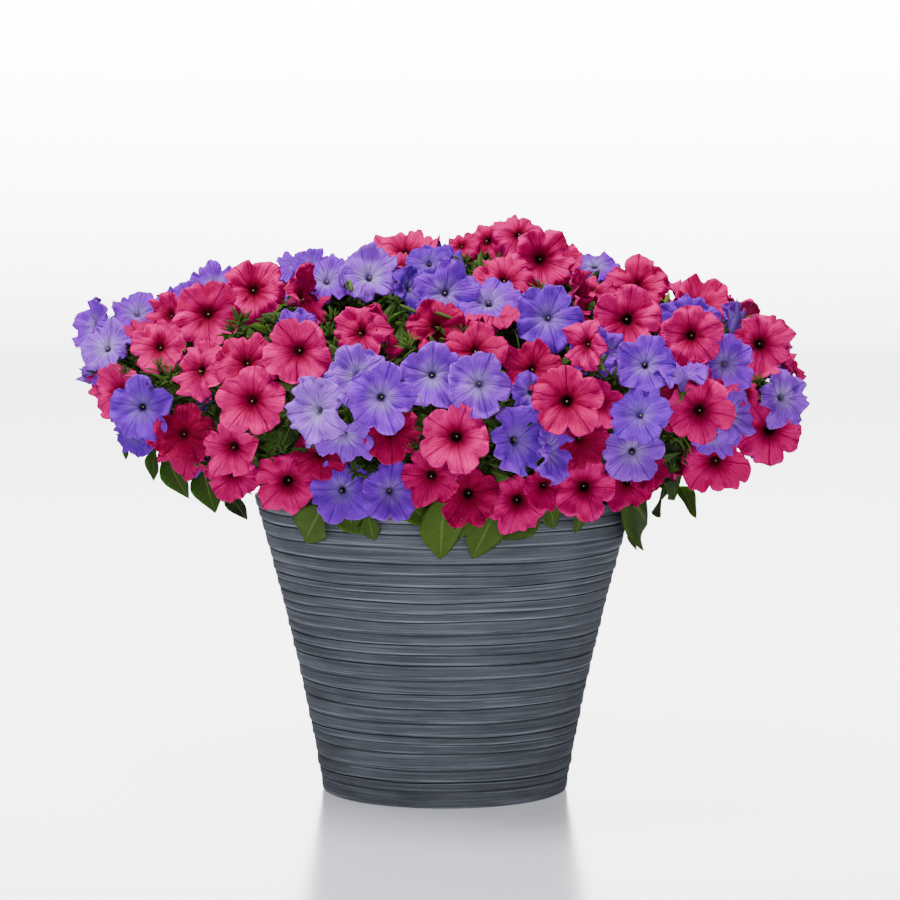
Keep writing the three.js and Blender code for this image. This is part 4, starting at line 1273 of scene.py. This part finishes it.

# %% [markdown]
# ## The leafy mound
# Under the blooms the plants make one dense mass of leaves. Its heart is an uneven body,
# turned from the mound's outline, roughened and painted in the darkest shade, so that nothing
# shows through. Leaves stand out of it in every direction. Each one that would cut through a
# bloom is left out.

# %% The heart of the mound
heart_outline = np.array([(*p, 0, 0) for p in spaced_points(MOUND, 40)])
heart_outline[:, 0] *= 0.97
rough = dict(sides=90, wander=0.0, unevenness=0.12, finish=leaf_finish)
heart = grown("foliage_heart", outline_object(heart_outline), turned_tree, **rough)
# The heart's dark colour is painted shade: the darkest tone of the leaf finish.
darkest = [-1.0] * len(heart.data.vertices)
heart.data.attributes.new("tone", "FLOAT", "POINT").data.foreach_set("value", darkest)
print("heart triangles:", finish_piece(heart, "leaf", "foliage"))


# %% Where leaves stand clear of the blooms
UNDER_CROWN = 0.002  # how far below the crown a leaf's tip stays
faces_at = np.array([b["face"] for b in blooms])
faces_to = np.array([b["facing"] for b in blooms])
radii = np.array([b["radius"] for b in blooms])


def cuts_a_bloom(point):
    """Whether a point lies in the funnel of a bloom or close before it."""
    apart = point - faces_at
    ahead = (apart * faces_to).sum(axis=1) / radii
    aside = np.linalg.norm(apart - faces_to * (ahead * radii)[:, None], axis=1) / radii
    return bool(((aside < 1.05) & (ahead > -0.15) & (ahead < 1.2)).any())


def leaf_place(base, along, upwards, length, shape, tone):
    side = unit(np.cross(upwards, along))
    top = np.cross(along, side)
    turn = turn_to(along, side, top)
    return dict(at=base, turn=turn, size=length, shape=shape, tone=tone, top=top, along=along)


def leaf_clear(leaf):
    """Whether a leaf's tip stays under the crown, and its outer half out of the blooms."""
    reach, arch = leaf["along"] * leaf["size"], leaf["top"] * leaf["size"] * 0.1
    if nearest_on_crown(leaf["at"] + reach)[1] < UNDER_CROWN:
        return False
    return not any(cuts_a_bloom(leaf["at"] + reach * t - arch * t) for t in (0.4, 0.7, 1.0))


print("blooms to stay clear of:", len(blooms))

# %% Leaves on the mound
STANDING_LEAVES = 3600


def plant_sprigs(name, sprigs, shapes):
    source = points_of(sprigs, "at", "turn size shape tone")
    piece = grown(name, source, sprig_tree, shapes=shapes, finish=leaf_finish)
    print(name + ":", len(sprigs), "with", finish_piece(piece, "leaf", "foliage"), "triangles")


def standing_leaf(i):
    angle = i * GOLDEN_ANGLE
    at = int(np.argmax(mound_shares >= (i + 0.5) / STANDING_LEAVES))
    r, z = mound_points[at]
    along_outline = unit(mound_points[min(at + 1, OUTLINE_STEPS)] - mound_points[max(at - 1, 0)])
    out = around(along_outline[1], angle, -along_outline[0])
    base = around(r, angle, z) + out * rng.uniform(-0.004, 0.022)
    sideways = unit(np.cross(out, rng.normal(size=3)))
    along = unit(out * rng.uniform(0.25, 1.1) + sideways * rng.uniform(0.5, 1) + UP * 0.15)
    upwards = out + 0.5 * rng.normal(size=3)
    length, tone = rng.uniform(0.014, 0.032), rng.uniform(-1.0, -0.05)
    return leaf_place(base, along, upwards, length, rng.integers(len(SMALL)), tone)


standing = [leaf for i in range(STANDING_LEAVES) if leaf_clear(leaf := standing_leaf(i))]
plant_sprigs("standing_leaves", standing, small_leaves)

# %% [markdown]
# ## Shoot tips
# Between the blooms the tips of the shoots show as tufts of narrow leaves, the youngest and
# palest part of the plant. Where one is seen in the photograph it is placed by its line of
# sight, and the others are spread over the mound and left out where a bloom is in the way.

# %% Tufts at the tips of the shoots
SHOOTS = 900
HEART_MIDDLE = UP * 0.22
# Pixels across and down of the tufts that are seen, their height in mm and their tone.
SEEN_TUFTS = [
    (107, 318, 20, 0.2), (97, 369, 16, 0.0), (126, 371, 18, -0.3), (160, 366, 22, -0.1),
    (171, 378, 24, -0.2), (150, 385, 20, -0.3), (178, 392, 20, -0.4), (240, 322, 22, -0.5),
    (232, 330, 20, -0.7), (276, 322, 18, -0.6), (334, 318, 20, -0.3), (347, 284, 16, 0.4),
    (408, 344, 18, 0.5), (330, 330, 18, -0.4), (541, 287, 20, 0.5), (536, 292, 16, 0.2),
    (465, 262, 18, -0.5), (409, 338, 16, 0.3), (743, 321, 20, 0.3), (673, 420, 20, 0.2),
    (668, 432, 22, 0.0), (680, 426, 18, 0.1), (536, 417, 16, 0.3), (500, 400, 20, 0.1),
    (497, 410, 18, -0.2), (418, 404, 20, -0.4), (424, 430, 20, -0.5), (414, 446, 20, -0.3),
    (660, 440, 20, -0.1), (262, 436, 18, -0.1), (270, 452, 22, 0.1), (282, 446, 20, -0.2),
    (404, 398, 14, -0.2), (452, 399, 14, -0.4), (760, 380, 16, -0.1), (613, 375, 16, -0.3),
    (507, 458, 18, -0.3), (655, 392, 16, -0.2), (395, 300, 14, -0.3), (463, 330, 16, -0.3),
    (560, 425, 14, -0.2), (355, 470, 18, -0.2), (372, 470, 16, -0.4), (220, 425, 14, -0.4),
]


def from_mound(i, count, angle):
    """A place on the mound at even steps of its area, and the way out from its middle."""
    r, z = mound_points[int(np.argmax(mound_shares >= (i + 0.5) / count))]
    place = around(r, angle, z)
    return place, unit(place - HEART_MIDDLE)


def shoot(base, way, length, tone):
    """A tuft that points along way: its Z axis is the stem."""
    side = unit(np.cross(way, rng.normal(size=3)))
    turn = turn_to(side, np.cross(way, side), way)
    shape = rng.integers(TUFT_SHAPES)
    return dict(at=base, turn=turn, size=length, shape=shape, tone=tone, along=way, top=side)


def hidden_shoot(i):
    place, out = from_mound(i, SHOOTS, i * GOLDEN_ANGLE + 1)
    base = place + out * rng.uniform(0.0, 0.026)
    way = unit(out + UP * 0.4 + 0.45 * rng.normal(size=3))
    return shoot(base, way, rng.uniform(0.016, 0.028), rng.uniform(-1.0, 0.0))


def seen_shoot(row):
    across, down, height, tone = row
    place = sighted(across, down)
    to_eye = unit(EYE - place)
    way = unit(0.6 * to_eye + UP * 0.8 + 0.35 * rng.normal(size=3))
    return shoot(place - to_eye * 0.008 - way * height * MM * 0.3, way, height * MM, tone)


shoots = [s for i in range(SHOOTS) if leaf_clear(s := hidden_shoot(i))]
plant_sprigs("shoot_tips", shoots + [seen_shoot(row) for row in SEEN_TUFTS], tufts)

# %% [markdown]
# ## Leaves over the rim
# The oldest and largest leaves hang over the pot's rim and hide it. Those of the front are
# placed by the lines of sight to their base and their tip, a few millimetres off the pot. More
# are drawn at even turns all round, and those of the front are passed over. At the sides and
# the back the blooms hang so low that none of the others has a clear place.

# %% Leaves that hang over the rim
# Pixels across and down of each leaf's base and tip, how far it stands off the pot in mm, its
# shape and its tone.
RIM_LEAVES = [
    (156, 448, 150, 481, 40, 1, -0.5), (166, 452, 184, 501, 34, 1, -0.4), (176, 440, 170, 474, 34, 2, -0.7),
    (202, 462, 214, 514, 20, 2, -0.3), (228, 486, 244, 522, 12, 1, -1.0), (128, 444, 124, 460, 60, 1, -0.6),
    (218, 480, 236, 506, 14, 2, -0.7), (300, 488, 306, 521, 8, 0, 0.0), (322, 508, 303, 544, 9, 2, 0.1),
    (336, 502, 366, 535, 11, 2, 0.0), (352, 498, 350, 536, 14, 0, -0.2), (368, 516, 374, 543, 6, 0, -0.1),
    (402, 500, 432, 524, 10, 2, 0.1), (444, 498, 440, 561, 13, 2, 0.2), (494, 514, 472, 560, 9, 2, 0.1),
    (470, 516, 458, 540, 14, 0, 0.1), (540, 512, 498, 540, 10, 0, -0.2), (548, 500, 556, 531, 11, 0, 0.0),
    (580, 512, 578, 537, 12, 1, -0.1), (626, 494, 652, 526, 12, 2, -0.1), (630, 508, 637, 532, 8, 0, 0.0),
    (672, 448, 677, 502, 28, 2, -0.4), (680, 486, 697, 518, 26, 2, -0.2), (665, 482, 661, 517, 24, 1, -0.8),
    (655, 438, 662, 480, 22, 2, -0.5), (690, 432, 686, 474, 34, 2, -0.6), (664, 452, 648, 494, 16, 2, -0.3),
    (268, 492, 266, 508, 6, 0, 0.0), (262, 436, 286, 462, 18, 2, -0.2), (276, 430, 262, 466, 16, 2, -0.4),
]
HANGING_LEAVES = 90
FRONT = math.radians(62)
POT_REACHES = np.arange(2.8, 3.25, 0.002)


def beside_pot(across, down, off):
    """The point on a line of sight that is off millimetres outside the pot's skin."""
    best, best_miss = None, 1e9
    for reach in POT_REACHES:
        point = EYE + sight_line(across, down) * reach
        skin = pot_radius(min(point[2] / MM, POT_HEIGHT))
        miss = abs(math.hypot(point[0], point[1]) - (skin + off) * MM)
        if miss < best_miss:
            best, best_miss = point, miss
        if miss < 0.001:
            break
    return best


def rim_leaf(row):
    across, down, tip_across, tip_down, off, shape, tone = row
    base, tip = beside_pot(across, down, off + 8), beside_pot(tip_across, tip_down, off)
    along = tip - base
    upwards = unit(np.array([base[0], base[1], 0.02])) + unit(EYE - base)
    return leaf_place(base, unit(along), upwards, np.linalg.norm(along), shape, tone)


def hanging_leaf(i):
    """A leaf over the rim, one of those drawn at even turns."""
    angle = 2 * math.pi * (i + rng.uniform(-0.5, 0.5)) / HANGING_LEAVES
    outer = rng.uniform(0, 1)
    base = around(0.168 + 0.04 * outer, angle, 0.262 + 0.036 * outer)
    out = around(1, angle, 0)
    along = unit(0.42 * out - UP + around(rng.uniform(-0.5, 0.5), angle + math.pi / 2, 0))
    length, shape = rng.uniform(0.036, 0.058), rng.integers(len(BIG))
    return leaf_place(base, along, out, length, shape, rng.uniform(-0.8, 0.3))


def beside_front(leaf):
    return abs(math.atan2(leaf["at"][0], -leaf["at"][1])) >= FRONT


hanging = [hanging_leaf(i) for i in range(HANGING_LEAVES)]
hanging = [leaf for leaf in hanging if beside_front(leaf) and leaf_clear(leaf)]
print("leaves with a clear place at the sides and the back:", len(hanging))
plant_sprigs("rim_leaves", [rim_leaf(row) for row in RIM_LEAVES] + hanging, big_leaves)

# %% [markdown]
# ## Stalks
# Each bloom stands on a thin green stalk. The stalks of a spray fork from one, which is rooted
# in the mound. They follow paths, so a tree turns the paths into soft curves and the curves
# into tubes, as thick at each point as its value says.


# %% Tree: stalks
def stalk_tree():
    tree, given = new_tree("stalks", Sides="Int", Finish="Material")
    add = partial(add_node, tree)
    thick = add(NAMED, {"Name": "thick"}, data_type="FLOAT")
    curve = add("GeometryNodeMeshToCurve", {"Mesh": given["Geometry"]})
    soft = add("GeometryNodeCurveSplineType", {"Curve": curve}, spline_type="CATMULL_ROM")
    fine = add("GeometryNodeSetSplineResolution", {"Geometry": soft, "Resolution": 4})
    wide = add("GeometryNodeSetCurveRadius", {"Curve": fine, "Radius": thick})
    ring = add("GeometryNodeCurvePrimitiveCircle", {"Resolution": given["Sides"], "Radius": 1.0})
    tube = {"Curve": wide, "Profile Curve": ring, "Scale": thick, "Fill Caps": True}
    return end_tree(tree, given, add("GeometryNodeCurveToMesh", tube))


stalks_tree = stalk_tree()

# %% Flower stalks
SINK = 0.012
FORK_SHARE = 0.3
STALK_RADIUS = 0.0013
STALK_GROWTH = 0.0004  # how much thicker at each next point towards the root


def root_of(bloom):
    """Where a leading bloom's stalk stands in the mound."""
    face = bloom["face"]
    r, z = mound_points[nearest_index(mound_points, face)]
    on_mound = around(r, math.atan2(face[1], face[0]), z)
    return on_mound + SINK * unit(on_mound - face)


def stalk_paths(spray):
    """The leader's stalk runs into the mound, and the others join it."""
    root = root_of(spray[0])
    made = []
    for bloom in spray:
        size = bloom["radius"]
        top = bloom["face"] - bloom["facing"] * size * (TUBE_END - 0.04)
        bend = bloom["face"] - bloom["facing"] * size * 1.15
        bend = bend + unit(root - bend) * size * 0.25
        if not made:
            fork = bend + (root - bend) * FORK_SHARE
            made.append([top, bend, fork, root])
        else:
            made.append([top, bend, (bend + fork) / 2 + UP * 0.002, fork])
    return made


def swept(name, paths, finish, slot, sides=6, skin=BACK_SKIN, share=0.6):
    """Tubes along paths of points, each with a radius in metres and a tone. A petal's finish
    reads which skin of a petal a tube is and how far out on it, from the throat's 0 to 1."""
    places, lines, thick, tones = [], [], [], []
    for path in paths:
        for k, (point, radius, tone) in enumerate(path):
            if k:
                lines.append((len(places) - 1, len(places)))
            places.append(point)
            thick.append(radius)
            tones.append(tone)
    alike = dict(back=[skin], petal=[(share, 0, 0)], seed=[0.7])
    alike = {key: value * len(places) for key, value in alike.items()}
    source = mesh_object("paths", places, edges=lines, thick=thick, tone=tones, **alike)
    piece = grown(name, source, stalks_tree, sides=sides, finish=finish)
    print(name + ":", len(paths), "with", finish_piece(piece, slot, "foliage"), "triangles")


forked = []
for name, spray in named_sprays.items():
    forked += [spray] if name.startswith("petunia") else [[bloom] for bloom in spray]
# Each stalk's tone deepens towards its root, as painted shade deep in the mound.
stalks = [
    [(point, STALK_RADIUS + STALK_GROWTH * k, -0.2 - 0.2 * k) for k, point in enumerate(path)]
    for spray in forked
    for path in stalk_paths(spray)
]
swept("flower_stalks", stalks, leaf_finish, "leaf")

# %% [markdown]
# ## Twigs and buds
# Thin stems arch through the outer mound and show in the gaps. Buds are closed, green or violet
# spindles between the blooms, and one bloom is shrivelled. All are tubes along a path, as the
# stalks are, so the same tree makes them.

# %% Twigs
TWIGS = 700
TWIG_RADIUS = 0.0008
# Along the twig, above its root, and its thickness, all as shares.
TWIG_ARCH = ((0, 0, 1.3), (0.4, 0.7, 1.0), (0.75, 1.0, 0.9), (1, 0.85, 0.6))


def twig(i):
    """A thin stem that arches through the outer mound."""
    place, out = from_mound(i, TWIGS, i * GOLDEN_ANGLE + 2)
    aside = unit(np.cross(out, rng.normal(size=3)))
    start = place + out * rng.uniform(-0.004, 0.008)
    reach, rise = rng.uniform(0.02, 0.04), rng.uniform(0.008, 0.02)
    tone = rng.uniform(-0.7, 0.4)
    bent = [(start + aside * reach * a + out * rise * b, w) for a, b, w in TWIG_ARCH]
    return [(point, TWIG_RADIUS * wide, tone) for point, wide in bent]


def twig_clear(path):
    return all(nearest_on_crown(p)[1] > UNDER_CROWN and not cuts_a_bloom(p) for p, _, _ in path)


twigs = [path for i in range(TWIGS) if twig_clear(path := twig(i))]
swept("twigs", twigs, leaf_finish, "leaf", sides=5)

# %% Buds
# Share of its length, and its thickness as a share of its radius.
BUD_SHAPE = ((0, 0.3), (0.08, 0.75), (0.3, 1.0), (0.62, 0.85), (0.88, 0.4), (1, 0.12))
# Pixels across and down of a bud's foot and tip, its radius in mm and its tone.
GREEN_BUDS = [
    (666, 305, 669, 292, 2.4, 0.9), (352, 292, 350, 279, 1.8, 0.8), (463, 276, 461, 262, 1.3, -0.3),
    (400, 305, 428, 318, 1.6, -0.7), (432, 311, 459, 321, 1.4, -0.8), (424, 405, 419, 395, 2.0, 0.5),
    (604, 371, 600, 360, 1.6, 0.2), (712, 392, 710, 381, 1.5, 0.3),
]
VIOLET_BUDS = [
    (735, 331, 729, 309, 3.0, -0.8), (738, 326, 737, 298, 2.4, -0.9), (742, 325, 744, 308, 2.2, -0.7),
    (731, 334, 736, 316, 2.8, -0.6),
]
# A shrivelled bloom: small dark lumps on one stem.
WILTED = [
    (198, 406, 197, 400, 2.0, -1.0), (201, 411, 203, 404, 2.2, -1.0), (205, 407, 203, 400, 1.8, -1.0),
    (207, 411, 205, 406, 1.7, -1.0), (211, 405, 209, 399, 1.6, -1.0), (202, 403, 215, 393, 0.7, -1.0),
]


def bud(row):
    across, down, tip_across, tip_down, radius, tone = row
    foot = sighted(across, down)
    foot = foot + unit(EYE - foot) * 0.004
    reach = (foot - EYE) @ forward
    tip = EYE + sight_line(tip_across, tip_down) * reach
    return [(foot + (tip - foot) * a, radius * MM * b, tone) for a, b in BUD_SHAPE]


def sweep_buds(name, rows, finish, slot, **look):
    swept(name, [bud(row) for row in rows], finish, slot, sides=8, **look)


violet_look = dict(finish=petal_finish["violet"], slot="violet_petal", skin=FRONT_SKIN)
sweep_buds("green_buds", GREEN_BUDS, leaf_finish, "leaf")
sweep_buds("violet_buds", VIOLET_BUDS, share=0.09, **violet_look)
sweep_buds("wilted_bloom", WILTED, share=0.0, **violet_look)

# %% [markdown]
# ## Calyxes
# A calyx of five narrow sepals on a small cup holds each bloom by its tube. They are all alike
# and small, so one shape is planted behind every bloom, like the blooms themselves.

# %% Calyxes
SEPALS = 5
SEPAL_ROWS = 5
CUP = [(-0.9, 0.03), (-0.87, 0.075), (-0.8, 0.095), (-0.72, 0.1)]
CUP_SIDES = 8
ON_LEAF = (0.5, 0.4, 1)  # where the sepals read the leaf's finish, clear of its veins


def sepal(turn):
    """Points of a narrow strap that stands out of the calyx and bends back."""
    points = []
    for i in range(SEPAL_ROWS + 1):
        t = i / SEPAL_ROWS
        out = 0.07 + 0.2 * t
        high = -0.86 + 0.34 * t - 0.1 * t * t
        half = 0.045 * (1 - t) ** 0.6 + 0.004
        for across, lift in ((-half, 0), (0, 0.018), (half, 0), (0, -0.012)):
            x = out + lift * 0.8
            east = x * math.cos(turn) - across * math.sin(turn)
            north = x * math.sin(turn) + across * math.cos(turn)
            points.append((east, north, high - lift * 0.5))
    return points


def calyx():
    points, faces = [], []
    for k in range(SEPALS):
        faces += tube_faces(len(points), SEPAL_ROWS + 1, 4)
        points += sepal(2 * math.pi * (k + 0.5) / SEPALS)
    faces += tube_faces(len(points), len(CUP), CUP_SIDES)
    turns = [2 * math.pi * i / CUP_SIDES for i in range(CUP_SIDES)]
    points += [around(wide, turn, high) for high, wide in CUP for turn in turns]
    return mesh_object("calyx", points, faces, leaf=[ON_LEAF] * len(points))


calyxes = bpy.data.collections.new("calyxes")
calyxes.objects.link(calyx())
everyone = [bloom for spray in named_sprays.values() for bloom in spray]
held = [dict(at=b["face"], turn=b["turn"], size=b["size"], shape=0, tone=0.2) for b in everyone]
plant_sprigs("calyxes", held, calyxes)

# %% [markdown]
# ## Stage and light
# The photograph was taken on a white sweep under broad, soft light from above and in front. A
# flat floor and a backdrop stand for the sweep. Both glow a little, because a white sweep is lit
# so brightly that it hardly takes a shadow, and the backdrop glows more towards its top.

# %% Stage
STAGE = 6.0
TOP_OF_VIEW = 0.85
BACKDROP = 1.7


def plain_sheet(name, corners, colour, roughness, emission, emission_above=None):
    """One flat sheet of the stage. A sheet can glow more strongly at its top, TOP_OF_VIEW up."""
    look = dict(Base_Color=linear(colour), Emission_Color=linear(colour))
    material, tree, shader = new_material(
        name, **look, Roughness=roughness, Emission_Strength=emission
    )
    if emission_above is not None:
        place = add_node(tree, "TexCoord").outputs["Object"]
        height = add_node(tree, "SeparateXYZ", {0: place}).outputs["Z"]
        rising = {"From Max": TOP_OF_VIEW, "To Min": emission, "To Max": emission_above}
        glow = add_node(tree, "MapRange", {"Value": height} | rising).outputs[0]
        tree.links.new(glow, shader["Emission Strength"])
    sheet = in_scene(mesh_object(name, corners, [(0, 1, 2, 3)]))
    sheet.data.materials.append(material)
    print(name, "glows with", emission, "to", emission_above or emission)


low_corners = [(-STAGE, -STAGE, 0), (STAGE, -STAGE, 0)]
far_corners = [(STAGE, STAGE, 0), (-STAGE, STAGE, 0)]
foot_corners = [(BACKDROP, STAGE, 0), (-BACKDROP, STAGE, 0)]
top_corners = [(-BACKDROP, STAGE, BACKDROP), (BACKDROP, STAGE, BACKDROP)]
plain_sheet("white_acrylic_floor", low_corners + far_corners, "#DEDFE7", 0.2, 0.5)
plain_sheet("lit_backdrop", foot_corners + top_corners, "#FFFFFF", 0.9, 3.9, 15.0)

# %% Light
world = bpy.data.worlds.new("studio")
bpy.context.scene.world = world
world.use_nodes = True
world.node_tree.nodes["Background"].inputs["Color"].default_value = linear("#F2F4F8")
world.node_tree.nodes["Background"].inputs["Strength"].default_value = 0.12


def soft_light(name, place, size, power):
    """A square lamp, aimed at the rim of the pot, which the camera doesn't see."""
    light = in_scene(bpy.data.objects.new(name, bpy.data.lights.new(name, "AREA")))
    light.data.size = size
    light.data.energy = power
    light.visible_camera = False
    light.location = place
    light.rotation_euler = turned_along(Vector((0, 0, POT_HEIGHT * MM)) - Vector(place))
    print(name + ":", power, "W over", size, "m")


soft_light("overhead_softbox", (-0.45, -0.8, 2.2), 1.0, 86)
soft_light("front_fill", (0.15, -2.8, 0.3), 1.2, 35)
